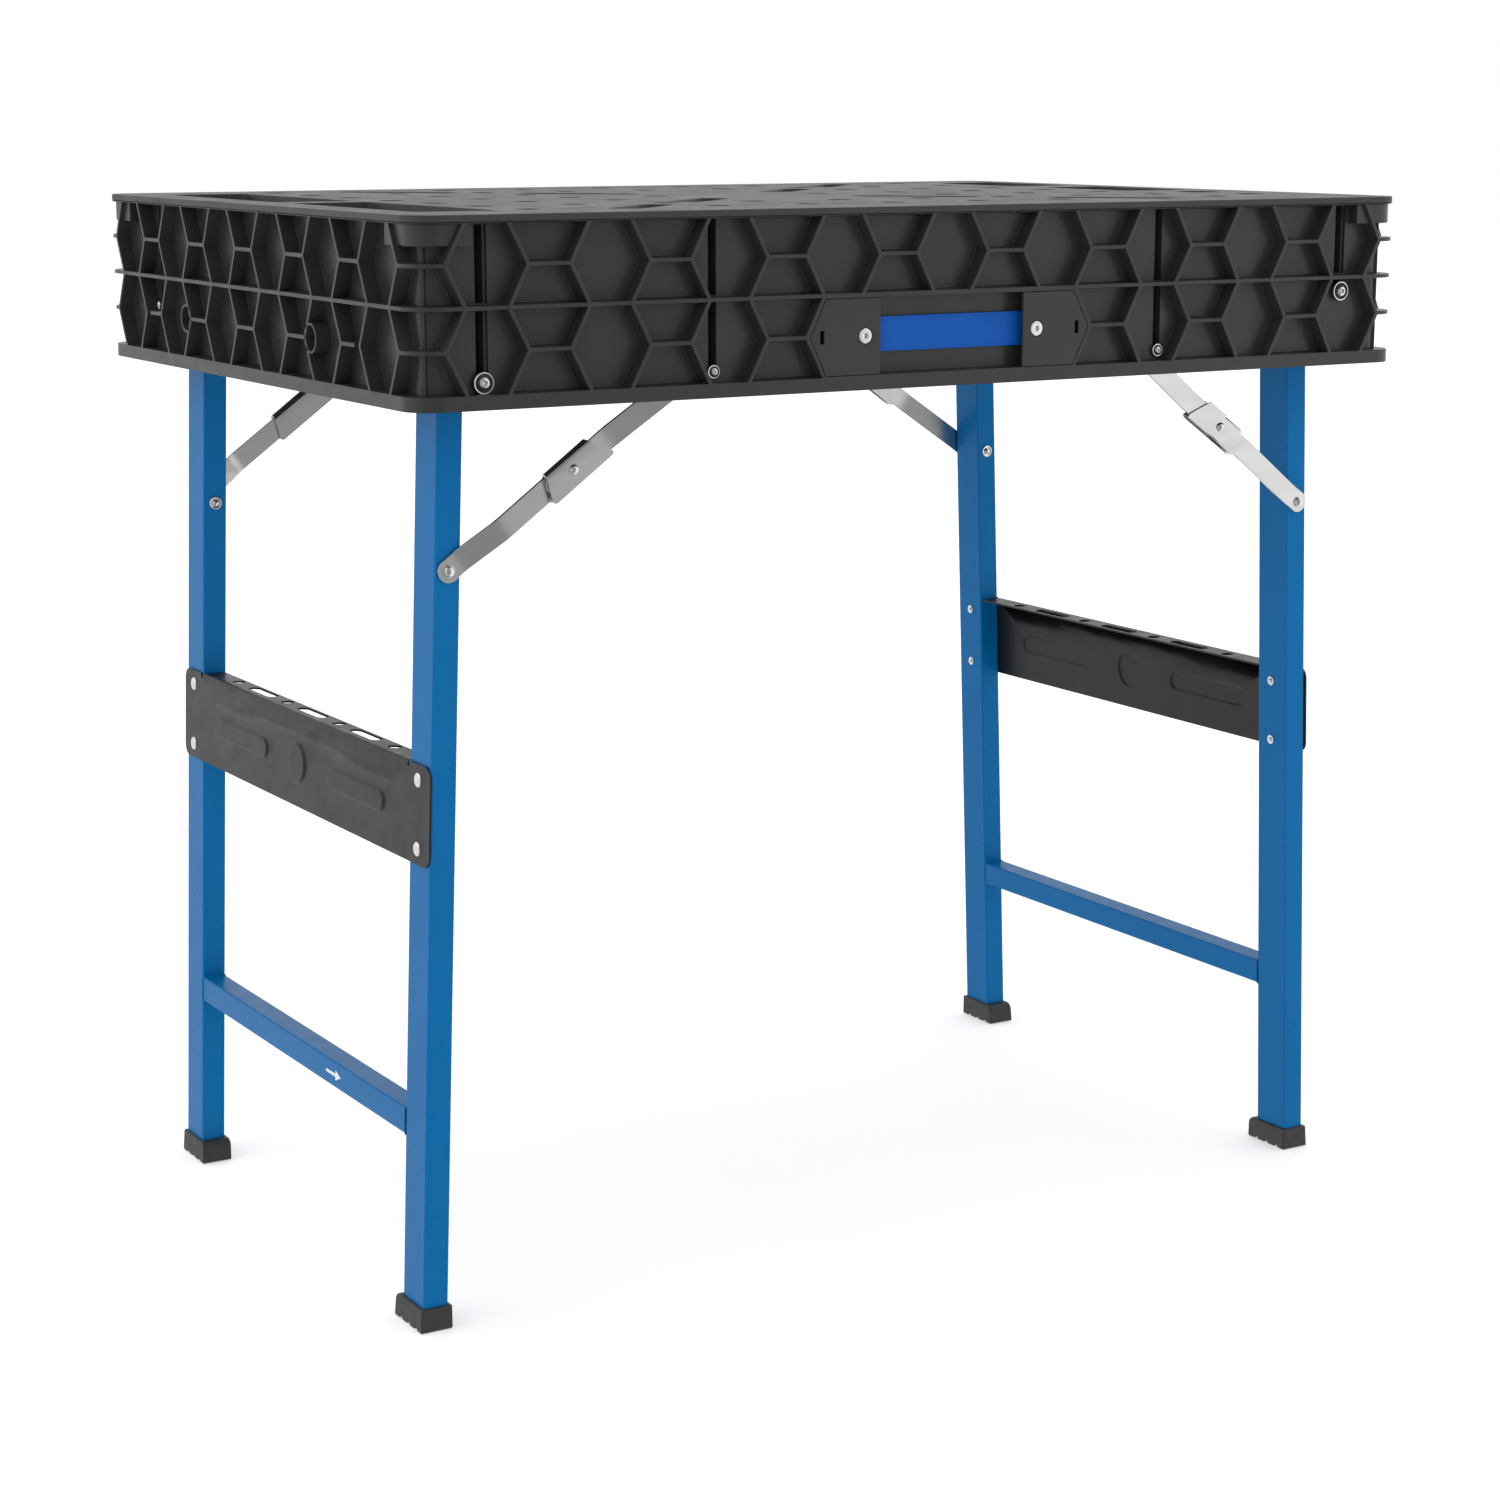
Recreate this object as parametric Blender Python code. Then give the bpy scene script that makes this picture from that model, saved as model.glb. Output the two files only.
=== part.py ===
"""A folding workbench: a ribbed plastic top on two folding steel leg frames with knee braces.

Metres, +Z up. The origin is on the floor under the middle of the top, and the front is -Y.
"""

import math

import bmesh
import bpy
from mathutils import Matrix, Vector

GAP = 0.0003

# Top
LENGTH = 0.8708
WIDTH = 0.6044
HEIGHT = 0.812
CORNER_RADIUS = 0.022
CORNER_STEPS = 6
DECK_THICKNESS = 0.005
SKIRT_BOTTOM = 0.6802
SKIRT_TOP = HEIGHT - DECK_THICKNESS - GAP
SKIRT_DEPTH = 0.016
POCKET_DEPTH = 0.012
LOWER_LIP = 0.6905
MIDDLE_RIB = 0.7493
RIB = 0.003
SHORT_RIB_HALF = 0.0162
RIB_SLOPE = 0.517
FRONT_PITCH = 0.095
END_PITCH = 0.0977
HALF_X = LENGTH / 2
HALF_Y = WIDTH / 2
FLOOR_OF_POCKET_Y = HALF_Y - POCKET_DEPTH
INNER_Y = HALF_Y - SKIRT_DEPTH
INNER_X = HALF_X - SKIRT_DEPTH
SOCKET_Y = 0.124
SOCKET_Z = 0.720
SOCKET_RADIUS = 0.0112
SOCKET_BORE = 0.0092

# Trays, round cups and clamp slots in the deck
TRAY_DEPTH = 0.016
TRAY_WALL = 0.0025
LEFT_TRAYS = ((-0.402, -0.338, -0.238, -0.015), (-0.402, -0.338, 0.015, 0.238))
RIGHT_TRAYS = ((0.346, 0.410, -0.057, 0.068), (0.346, 0.410, 0.113, 0.238))
CUPS = ((0.378, -0.112, 0.018), (0.378, -0.180, 0.013))
SLOT_DEPTH = 0.003
SLOT_HALF_LENGTH = 0.050
SLOT_RADIUS = 0.010
SLOT_CENTRES = (0.100, 0.210)

# Rib grid under the deck
GRID_X = 0.328
GRID_Y = 0.234
GRID_BOTTOM = 0.782
GRID_COLUMNS = 8
GRID_ROWS = 6

# Leg frames; the side is -1 for the left frame and +1 for the right one
SIDES = (("left", -1), ("right", 1))
ENDS = (("front", -1), ("rear", 1))
PIVOT_X = 0.380
PIVOT_Z = {-1: 0.698, 1: 0.738}
SPLAY = math.radians(2.2)
LEG_X = 0.0199
LEG_Y = 0.0356
LEG_OUTER_Y = 0.2409
LEG_INNER_Y = LEG_OUTER_Y - LEG_Y
LEG_WALL = 0.0013
LEG_ABOVE_PIVOT = 0.014
LEG_BOTTOM = 0.006
BAR_BOTTOM = 0.141
BAR_TOP = 0.1615
RACK_SHEET = 0.0015
RACK_BOTTOM = 0.348
RACK_TOP = 0.4215
RACK_HALF_Y = 0.242
RACK_CORNER = 0.009
RACK_FLANGE = 0.020
RACK_FLANGE_HALF_Y = 0.2035
RACK_HOLE_INSET = 0.0127
RACK_HOLE_RADIUS = 0.0055
RACK_HOLES_Y = (-0.1535, -0.0512, 0.0512, 0.1535)
RACK_SLOT_HALF = 0.0185
RACK_SLOT_RADIUS = 0.005
RACK_SLOTS_Y = (-0.101, 0.0, 0.101)
BOOT_TOP = 0.018
BOOT_FLARE = 0.003
BOOT_INNER_STEP = 0.009
BOOT_SHOULDER = 0.006
BOOT_GROOVE = 0.0045
BOOT_GROOVE_DEPTH = 0.002
BOOT_GROOVES = 3

# Bolts: heads and nuts are (distance from their seat, radius) pairs
PIVOT_HEAD = (
    (0.0053, 0.0028),
    (0.0049, 0.0046),
    (0.0036, 0.0058),
    (0.0016, 0.0060),
    (0.0016, 0.0070),
    (GAP, 0.0070),
)
PIVOT_NUT = ((0.0, 0.0068), (0.0052, 0.0068), (0.0059, 0.0036))
BRACE_HEAD = ((0.0038, 0.0020), (0.0034, 0.0036), (0.0022, 0.0046), (GAP, 0.0048))
BRACE_NUT = ((0.0, 0.0050), (0.0040, 0.0050), (0.0045, 0.0028))
PIVOT_CLEARANCE = 0.0004
PIVOT_SHANK = 0.004
PIVOT_HOLE = 0.0046
PIVOT_SPACER = 0.012
PIVOT_GROOVE_HALF = 0.0048
BRACE_SHANK = 0.003
BRACE_HOLE = 0.0035
BRACE_SPACER = 0.007
BRACE_GROOVE_HALF = 0.0026
GROOVE_DEPTH = 0.0015
ROUND_STEPS = 20

# Braces: the skirt pivot, the leg pivot and the knee between them, in the plane of X and Z
SKIRT_PIVOT = (0.1982, 0.698)
LEG_PIVOT_HEIGHT = 0.5627
KNEE_OFFSET = {-1: 0.016, 1: 0.0}
LINK_WIDTH = 0.017
LINK_SHEET = 0.0022
LINK_GAP = 0.0004
LEG_LAYER = 0.2413
KNEE_LOWER_LAYER = 0.2494
KNEE_UPPER_LAYER = KNEE_LOWER_LAYER + LINK_SHEET + LINK_GAP
SKIRT_LAYER = 0.2620
SLEEVE_SHEET = 0.0014
SLEEVE_BOTTOM_HALF = 0.028
SLEEVE_TOP_HALF = 0.020
SLEEVE_HALF_WIDTH = 0.0096
SLEEVE_BELOW = 0.0112
SLEEVE_CORNER = 0.004
SLEEVE_WEB_START = 0.001
FLAT_NEAR_END = 0.012
FLAT_NEAR_KNEE = 0.003
RIVET_SHANK = 0.0024
RIVET_HOLE = 0.0029
RIVET_HEAD = 0.0037
RIVET_RISE = 0.0024
RIVET_TAIL_RISE = 0.0014

# Carrying handle
COVER_TIP = 0.1255
COVER_SHOULDER = 0.110
COVER_EDGE = 0.0635
COVER_BOTTOM = 0.6915
COVER_TOP = 0.7465
COVER_MIDDLE = 0.7195
COVER_SHEET = 0.0025
COVER_WINDOW_X = 0.1135
COVER_WINDOW = (0.0017, 0.0048)
HANDLE_SCREW_X = 0.0763
HANDLE_SCREW_HEAD = 0.0057
STRAP_BOTTOM = 0.707
STRAP_TOP = 0.7325
STRAP_SHEET = 0.0025
STRAP_FRONT = HALF_Y - 0.009
STRAP_HALF = 0.0625
STRAP_TAB_END = 0.088

COLOURS = {
    "plastic": ((0.042, 0.042, 0.044), 0.5, 0.0),
    "paint": ((0.016, 0.125, 0.33), 0.35, 0.0),
    "panel_paint": ((0.07, 0.07, 0.072), 0.45, 0.0),
    "zinc": ((0.55, 0.56, 0.58), 0.3, 1.0),
    "bolt_steel": ((0.62, 0.62, 0.64), 0.22, 1.0),
    "rubber": ((0.012, 0.012, 0.013), 0.8, 0.0),
    "strap": ((0.010, 0.085, 0.36), 0.45, 0.0),
}


def clear_scene():
    for obj in list(bpy.data.objects):
        bpy.data.objects.remove(obj, do_unlink=True)


def make_materials():
    made = {}
    for name, (colour, roughness, metallic) in COLOURS.items():
        material = bpy.data.materials.new(name)
        material.use_nodes = True
        shader = material.node_tree.nodes["Principled BSDF"]
        shader.inputs["Base Color"].default_value = (*colour, 1.0)
        shader.inputs["Roughness"].default_value = roughness
        shader.inputs["Metallic"].default_value = metallic
        made[name] = material
    return made


def make_empty(name, location):
    empty = bpy.data.objects.new(name, None)
    empty.location = location
    bpy.context.scene.collection.objects.link(empty)
    return empty


def make_object(name, bm, material=None, parent=None, smooth=False):
    """Turns a bmesh in world coordinates into an object that hangs from its joint's empty."""
    bmesh.ops.recalc_face_normals(bm, faces=bm.faces)
    mesh = bpy.data.meshes.new(name)
    bm.to_mesh(mesh)
    bm.free()
    obj = bpy.data.objects.new(name, mesh)
    bpy.context.scene.collection.objects.link(obj)
    if material:
        mesh.materials.append(material)
    if smooth:
        mesh.shade_smooth()
        mesh.set_sharp_from_angle(angle=math.radians(35))
    if parent:
        obj.parent = parent
        obj.matrix_parent_inverse = Matrix.Translation(-Vector(parent.location))
    return obj


def combine(target, other, operation, name):
    """Adds a Boolean that uses another object, which stays as a hidden helper."""
    other.hide_render = True
    other.display_type = "WIRE"
    modifier = target.modifiers.new(name, "BOOLEAN")
    modifier.operation = operation
    modifier.object = other


def prism_into(bm, outline, low, high, axis):
    """Extrudes a flat outline along an axis: outlines are (y, z), (x, z) or (x, y) pairs."""
    place = {
        "X": lambda a, b, along: (along, a, b),
        "Y": lambda a, b, along: (a, along, b),
        "Z": lambda a, b, along: (a, b, along),
    }[axis]
    rings = [[bm.verts.new(place(a, b, along)) for a, b in outline] for along in (low, high)]
    bm.faces.new(rings[0])
    bm.faces.new(list(reversed(rings[1])))
    count = len(outline)
    for index in range(count):
        after = (index + 1) % count
        bm.faces.new((rings[0][index], rings[0][after], rings[1][after], rings[1][index]))


def prism(outline, low, high, axis):
    bm = bmesh.new()
    prism_into(bm, outline, low, high, axis)
    return bm


def box_into(bm, low, high):
    outline = ((low[0], low[1]), (high[0], low[1]), (high[0], high[1]), (low[0], high[1]))
    prism_into(bm, outline, low[2], high[2], "Z")


def box(low, high):
    bm = bmesh.new()
    box_into(bm, low, high)
    return bm


def circle(centre, radius, steps=ROUND_STEPS):
    angles = [2 * math.pi * (step + 0.5) / steps for step in range(steps)]
    return [(centre[0] + radius * math.cos(a), centre[1] + radius * math.sin(a)) for a in angles]


def arc(centre, radius, first, last, steps):
    """Points on an arc between two angles in degrees."""
    angles = [math.radians(first + (last - first) * step / steps) for step in range(steps + 1)]
    return [(centre[0] + radius * math.cos(a), centre[1] + radius * math.sin(a)) for a in angles]


def stadium(centre, half, radius, angle, steps=8):
    """A slot outline with round ends, its length turned by an angle in degrees."""
    turn = math.radians(angle)
    along = (half * math.cos(turn), half * math.sin(turn))
    far = (centre[0] + along[0], centre[1] + along[1])
    near = (centre[0] - along[0], centre[1] - along[1])
    first = arc(far, radius, angle - 90, angle + 90, steps)
    return first + arc(near, radius, angle + 90, angle + 270, steps)


def rounded_rectangle(half_a, half_b, radius, steps):
    corners = ((1, 1, 0), (-1, 1, 90), (-1, -1, 180), (1, -1, 270))
    points = []
    for sign_a, sign_b, first in corners:
        centre = (sign_a * (half_a - radius), sign_b * (half_b - radius))
        points += arc(centre, radius, first, first + 90, steps)
    return points


def turned(name, centre, profile, side, material, parent=None):
    """A bolt, rivet or spacer on an axis along Y: the profile is (distance from y = 0, radius)."""
    bm = bmesh.new()
    rings = []
    for distance, radius in profile:
        y = side * distance
        rings.append([bm.verts.new((x, y, z)) for x, z in circle(centre, radius)])
    for first, second in zip(rings, rings[1:]):
        for index in range(ROUND_STEPS):
            after = (index + 1) % ROUND_STEPS
            bm.faces.new((first[index], first[after], second[after], second[index]))
    bm.faces.new(rings[0])
    bm.faces.new(rings[-1])
    return make_object(name, bm, material, parent, smooth=True)


def round_tool(name, centre, radius, low, high):
    """A hidden cutter along Y."""
    return make_object(name, prism(circle(centre, radius), low, high, "Y"))


# ---------------------------------------------------------------- top


def cell_half_width(pitch, rise):
    """Half the width of a six-sided pocket at a height above or below its widest line."""
    inset = RIB / 2 * math.sqrt(1 + RIB_SLOPE**2)
    return pitch / 2 - SHORT_RIB_HALF - abs(rise) * RIB_SLOPE - inset


def between_half_width(pitch, rise):
    """Half the width of a four-sided pocket at a height above or below its short rib."""
    inset = RIB / 2 * math.sqrt(1 + RIB_SLOPE**2)
    return SHORT_RIB_HALF + abs(rise) * RIB_SLOPE - inset


def six_sided(centre, pitch, bottom, middle, top):
    low = cell_half_width(pitch, middle - bottom)
    wide = cell_half_width(pitch, 0)
    high = cell_half_width(pitch, top - middle)
    right = ((low, bottom), (wide, middle), (high, top))
    left = ((-high, top), (-wide, middle), (-low, bottom))
    return [(centre + a, b) for a, b in right + left]


def four_sided(centre, pitch, start, end, middle, limit):
    """The pocket above or below a short rib, cut off where the flat of the face ends."""
    near = between_half_width(pitch, start - middle)
    far = between_half_width(pitch, end - middle)
    points = [(centre - near, start), (centre + near, start), (centre + far, end), (centre - far, end)]
    return [(max(-limit, min(limit, a)), b) for a, b in points]


def pocket_outlines(pitch, first, count, limit, skip=None):
    """The pockets of two rows of ribs. Six-sided and four-sided pockets take turns along the face."""
    rows = (
        (LOWER_LIP, 0.720, MIDDLE_RIB - RIB / 2),
        (MIDDLE_RIB + RIB / 2, 0.7782, SKIRT_TOP + 0.002),
    )
    outlines = []
    for bottom, middle, top in rows:
        lower_row = bottom == LOWER_LIP
        for index in range(count):
            centre = first + index * pitch / 2
            if skip and lower_row and abs(centre) < skip:
                continue
            if index % 2 == 0:
                outlines.append(four_sided(centre, pitch, middle + RIB / 2, top, middle, limit))
                outlines.append(four_sided(centre, pitch, middle - RIB / 2, bottom, middle, limit))
            else:
                outlines.append(six_sided(centre, pitch, bottom, middle, top))
    return outlines


def handle_recess():
    return [
        (-COVER_TIP - 0.001, COVER_MIDDLE),
        (-COVER_SHOULDER - 0.0008, COVER_TOP + GAP),
        (COVER_SHOULDER + 0.0008, COVER_TOP + GAP),
        (COVER_TIP + 0.001, COVER_MIDDLE),
        (COVER_SHOULDER + 0.0008, COVER_BOTTOM - GAP),
        (-COVER_SHOULDER - 0.0008, COVER_BOTTOM - GAP),
    ]


def make_long_skirt(end_name, end, material):
    """The front or rear wall of the top, with round outer corners and pockets in its outer face."""
    reach = HALF_Y - INNER_Y
    start = math.degrees(math.asin((CORNER_RADIUS - reach) / CORNER_RADIUS))
    centre = (HALF_X - CORNER_RADIUS, HALF_Y - CORNER_RADIUS)
    corner = arc(centre, CORNER_RADIUS, start, 90, CORNER_STEPS)
    half = [(x, end * y) for x, y in corner]
    outline = half + [(-x, y) for x, y in reversed(half)]
    skirt = make_object(
        "skirt_" + end_name, prism(outline, SKIRT_BOTTOM, SKIRT_TOP, "Z"), material
    )
    limit = HALF_X - CORNER_RADIUS
    is_front = end < 0
    first = -4.5 * FRONT_PITCH
    outlines = pocket_outlines(FRONT_PITCH, first, 19, limit, 0.12 if is_front else None)
    if is_front:
        outlines.append(handle_recess())
    tool = bmesh.new()
    for points in outlines:
        prism_into(tool, points, end * FLOOR_OF_POCKET_Y, end * (HALF_Y + 0.01), "Y")
    combine(skirt, make_object("pockets_" + end_name, tool), "DIFFERENCE", "pockets")
    tool = bmesh.new()
    floor = FLOOR_OF_POCKET_Y - GROOVE_DEPTH
    for _, side in SIDES:
        grooves = (
            (PIVOT_X, PIVOT_Z[side], PIVOT_GROOVE_HALF),
            (SKIRT_PIVOT[0], SKIRT_PIVOT[1], BRACE_GROOVE_HALF),
        )
        for x, z, half_width in grooves:
            stretches = ((z, MIDDLE_RIB - RIB / 2), (max(z, MIDDLE_RIB + RIB / 2), SKIRT_TOP + 0.002))
            for low, high in stretches:
                if high - low < 0.001:
                    continue
                ends = sorted((end * floor, end * (FLOOR_OF_POCKET_Y + 0.0002)))
                near = (side * x - half_width, ends[0], low)
                box_into(tool, near, (side * x + half_width, ends[1], high))
    combine(skirt, make_object("grooves_" + end_name, tool), "DIFFERENCE", "grooves")
    tool = bmesh.new()
    for _, side in SIDES:
        span = (end * (INNER_Y - 0.002), end * (FLOOR_OF_POCKET_Y + 0.002))
        prism_into(tool, circle((side * PIVOT_X, PIVOT_Z[side]), PIVOT_HOLE), *span, "Y")
        prism_into(tool, circle((side * SKIRT_PIVOT[0], SKIRT_PIVOT[1]), BRACE_HOLE), *span, "Y")
    combine(skirt, make_object("bolt_holes_" + end_name, tool), "DIFFERENCE", "bolt_holes")


def make_end_skirt(side_name, side, material):
    """The left or right wall of the top, with two round sockets among its pockets."""
    reach = HALF_X - INNER_X
    centre = (HALF_X - CORNER_RADIUS, HALF_Y - CORNER_RADIUS)
    stop = math.degrees(math.asin((CORNER_RADIUS - reach - GAP) / CORNER_RADIUS))
    corner = arc(centre, CORNER_RADIUS, 0, stop, 3)
    half = [(side * INNER_X, corner[-1][1])] + [(side * x, y) for x, y in reversed(corner)]
    outline = half + [(x, -y) for x, y in reversed(half)]
    skirt = make_object(
        "skirt_" + side_name, prism(outline, SKIRT_BOTTOM, SKIRT_TOP, "Z"), material
    )
    tool = bmesh.new()
    floor = side * (HALF_X - POCKET_DEPTH)
    limit = HALF_Y - CORNER_RADIUS
    for points in pocket_outlines(END_PITCH, -3 * END_PITCH, 13, limit):
        prism_into(tool, points, floor, side * (HALF_X + 0.01), "X")
    combine(skirt, make_object("pockets_" + side_name, tool), "DIFFERENCE", "pockets")
    root = side * (HALF_X - POCKET_DEPTH - 0.001)
    for end_name, end in ENDS:
        place = (end * SOCKET_Y, SOCKET_Z)
        socket = prism(circle(place, SOCKET_RADIUS), root, side * HALF_X, "X")
        name = side_name + "_" + end_name
        combine(skirt, make_object("socket_" + name, socket), "UNION", "socket_" + end_name)
        bore = prism(circle(place, SOCKET_BORE), floor, side * (HALF_X + 0.01), "X")
        combine(skirt, make_object("socket_bore_" + name, bore), "DIFFERENCE", "bore_" + end_name)


def make_deck(material):
    """The work surface: a slab with parts trays, round cups and eight diagonal clamp slots."""
    outline = rounded_rectangle(HALF_X, HALF_Y, CORNER_RADIUS, CORNER_STEPS)
    deck = make_object("deck_panel", prism(outline, HEIGHT - DECK_THICKNESS, HEIGHT, "Z"), material)
    below = HEIGHT - TRAY_DEPTH - TRAY_WALL
    tubs = bmesh.new()
    tool = bmesh.new()
    for x0, x1, y0, y1 in LEFT_TRAYS + RIGHT_TRAYS:
        low = (x0 - TRAY_WALL, y0 - TRAY_WALL, below)
        box_into(tubs, low, (x1 + TRAY_WALL, y1 + TRAY_WALL, HEIGHT - 0.001))
        box_into(tool, (x0, y0, HEIGHT - TRAY_DEPTH), (x1, y1, HEIGHT + 0.01))
    for x, y, radius in CUPS:
        prism_into(tubs, circle((x, y), radius + TRAY_WALL), below, HEIGHT - 0.001, "Z")
        prism_into(tool, circle((x, y), radius), HEIGHT - TRAY_DEPTH, HEIGHT + 0.01, "Z")
    for sign_x, sign_y in ((1, 1), (-1, 1), (-1, -1), (1, -1)):
        angle = 45 if sign_x == sign_y else -45
        for reach in SLOT_CENTRES:
            centre = (sign_x * reach, sign_y * reach)
            slot = stadium(centre, SLOT_HALF_LENGTH - SLOT_RADIUS, SLOT_RADIUS, angle)
            prism_into(tool, slot, HEIGHT - SLOT_DEPTH, HEIGHT + 0.01, "Z")
    combine(deck, make_object("tray_tubs", tubs), "UNION", "tubs")
    combine(deck, make_object("deck_recesses", tool), "DIFFERENCE", "recesses")


def make_rib_grid(material):
    """Stiffening ribs under the deck, between the trays and inside the paths of the braces."""
    top = HEIGHT - DECK_THICKNESS - GAP
    grid = make_object(
        "deck_rib_grid", box((-GRID_X, -GRID_Y, GRID_BOTTOM), (GRID_X, GRID_Y, top)), material
    )
    tool = bmesh.new()
    pitch_x = (2 * GRID_X - RIB) / GRID_COLUMNS
    pitch_y = (2 * GRID_Y - RIB) / GRID_ROWS
    for column in range(GRID_COLUMNS):
        for row in range(GRID_ROWS):
            x = -GRID_X + RIB + column * pitch_x
            y = -GRID_Y + RIB + row * pitch_y
            high = (x + pitch_x - RIB, y + pitch_y - RIB, top + 0.005)
            box_into(tool, (x, y, GRID_BOTTOM - 0.005), high)
    combine(grid, make_object("grid_cells", tool), "DIFFERENCE", "cells")


def make_pivot_hardware(materials):
    """The bolts that hold the leg frames and the braces to the skirts, with their spacers."""
    for end_name, end in ENDS:
        for side_name, side in SIDES:
            name = side_name + "_" + end_name
            centre = (side * PIVOT_X, PIVOT_Z[side])
            floor = FLOOR_OF_POCKET_Y
            inside = LEG_INNER_Y - GAP
            profile = [(floor + rise, radius) for rise, radius in PIVOT_HEAD]
            profile += [(floor + GAP, PIVOT_SHANK), (inside, PIVOT_SHANK)]
            profile += [(inside - drop, radius) for drop, radius in PIVOT_NUT]
            turned("leg_pivot_bolt_" + name, centre, profile, end, materials["bolt_steel"])
            start = LEG_OUTER_Y + PIVOT_CLEARANCE
            spacer = (PIVOT_SPACER, PIVOT_HOLE)
            make_spacer("leg_pivot_spacer_" + name, centre, spacer, start, end, materials["plastic"])
            centre = (side * SKIRT_PIVOT[0], SKIRT_PIVOT[1])
            inside = SKIRT_LAYER - LINK_GAP
            profile = [(floor + rise, radius) for rise, radius in BRACE_HEAD]
            profile += [(floor + GAP, BRACE_SHANK), (inside, BRACE_SHANK)]
            profile += [(inside - drop, radius) for drop, radius in BRACE_NUT]
            turned("brace_bolt_" + name, centre, profile, end, materials["bolt_steel"])
            start = SKIRT_LAYER + LINK_SHEET + LINK_GAP
            spacer = (BRACE_SPACER, BRACE_HOLE)
            make_spacer("brace_spacer_" + name, centre, spacer, start, end, materials["plastic"])


def make_spacer(name, centre, radii, start, end, material):
    """A tube between the inside of the skirt and the piece that turns on the bolt."""
    radius, bore = radii
    stop = INNER_Y - GAP
    span = sorted((end * start, end * stop))
    spacer = make_object(name, prism(circle(centre, radius), *span, "Y"), material, smooth=True)
    tool = round_tool(name + "_bore", centre, bore, span[0] - 0.005, span[1] + 0.005)
    combine(spacer, tool, "DIFFERENCE", "bore")


def make_handle(materials):
    """The carrying handle: a strap whose two ends are held under flush covers."""
    back = -(HALF_Y - COVER_SHEET)
    for side_name, side in SIDES:
        outline = [
            (side * COVER_EDGE, COVER_BOTTOM),
            (side * COVER_SHOULDER, COVER_BOTTOM),
            (side * COVER_TIP, COVER_MIDDLE),
            (side * COVER_SHOULDER, COVER_TOP),
            (side * COVER_EDGE, COVER_TOP),
        ]
        cover = make_object(
            "handle_cover_" + side_name, prism(outline, -HALF_Y, back, "Y"), materials["plastic"]
        )
        tool = bmesh.new()
        centre = (side * HANDLE_SCREW_X, COVER_MIDDLE)
        prism_into(tool, circle(centre, HANDLE_SCREW_HEAD + GAP), -HALF_Y - 0.01, back + 0.01, "Y")
        low = (side * COVER_WINDOW_X - COVER_WINDOW[0], -HALF_Y - 0.01, COVER_MIDDLE - COVER_WINDOW[1])
        high = (side * COVER_WINDOW_X + COVER_WINDOW[0], back + 0.01, COVER_MIDDLE + COVER_WINDOW[1])
        box_into(tool, low, high)
        combine(cover, make_object("cover_holes_" + side_name, tool), "DIFFERENCE", "holes")
        profile = (
            (HALF_Y - 0.0002, 0.0040),
            (HALF_Y - 0.0006, HANDLE_SCREW_HEAD),
            (HALF_Y - COVER_SHEET, HANDLE_SCREW_HEAD),
            (HALF_Y - COVER_SHEET, 0.0025),
            (FLOOR_OF_POCKET_Y + GAP, 0.0025),
        )
        turned("handle_screw_" + side_name, centre, profile, -1, materials["bolt_steel"])
        ends = sorted((side * (STRAP_HALF + 0.0004), side * STRAP_TAB_END))
        low = (ends[0], -STRAP_FRONT, STRAP_BOTTOM)
        high = (ends[1], -STRAP_FRONT + STRAP_SHEET, STRAP_TOP)
        tab = make_object("handle_strap_tab_" + side_name, box(low, high), materials["strap"])
        tool = round_tool("tab_hole_" + side_name, centre, 0.0040, low[1] - 0.005, high[1] + 0.005)
        combine(tab, tool, "DIFFERENCE", "hole")
    slide = make_empty("handle_slide", (0, -STRAP_FRONT, COVER_MIDDLE))
    low = (-STRAP_HALF, -STRAP_FRONT, STRAP_BOTTOM)
    high = (STRAP_HALF, -STRAP_FRONT + STRAP_SHEET, STRAP_TOP)
    make_object("handle_strap", box(low, high), materials["strap"], slide)


# ---------------------------------------------------------------- leg frames


def lean(bm, side, pivot):
    """Turns pieces drawn on an upright leg, with the pivot as origin, to the leg's outward lean."""
    matrix = Matrix.Translation(pivot) @ Matrix.Rotation(-side * SPLAY, 4, "Y")
    bmesh.ops.transform(bm, matrix=matrix, verts=bm.verts)
    return bm


def along_leg(height, side):
    """Distance from the pivot, along the leg, of a point at a height above the floor."""
    return (height - PIVOT_Z[side]) / math.cos(SPLAY)


def make_leg(name, side, end, pivot, material, parent):
    """A rectangular tube, open at both ends, with a cross hole at the pivot."""
    low = along_leg(LEG_BOTTOM, side)
    ends = sorted((end * LEG_INNER_Y, end * LEG_OUTER_Y))
    body = box((-LEG_X / 2, ends[0], low), (LEG_X / 2, ends[1], LEG_ABOVE_PIVOT))
    leg = make_object(name, lean(body, side, pivot), material, parent)
    inner = LEG_X / 2 - LEG_WALL
    top = LEG_ABOVE_PIVOT + 0.01
    bore = box((-inner, ends[0] + LEG_WALL, low - 0.01), (inner, ends[1] - LEG_WALL, top))
    combine(leg, make_object(name + "_bore", lean(bore, side, pivot)), "DIFFERENCE", "bore")
    centre = (pivot[0], pivot[2])
    tool = round_tool(name + "_pivot_hole", centre, PIVOT_HOLE, ends[0] - 0.01, ends[1] + 0.01)
    combine(leg, tool, "DIFFERENCE", "pivot_hole")


def make_crossbar(name, side, pivot, material, parent):
    """A square tube welded between the two legs, open at its ends."""
    half_y = LEG_INNER_Y - GAP
    low, high = along_leg(BAR_BOTTOM, side), along_leg(BAR_TOP, side)
    body = box((-LEG_X / 2, -half_y, low), (LEG_X / 2, half_y, high))
    bar = make_object(name, lean(body, side, pivot), material, parent)
    inner = LEG_X / 2 - LEG_WALL
    bore = box((-inner, -half_y - 0.01, low + LEG_WALL), (inner, half_y + 0.01, high - LEG_WALL))
    combine(bar, make_object(name + "_bore", lean(bore, side, pivot)), "DIFFERENCE", "bore")


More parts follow.
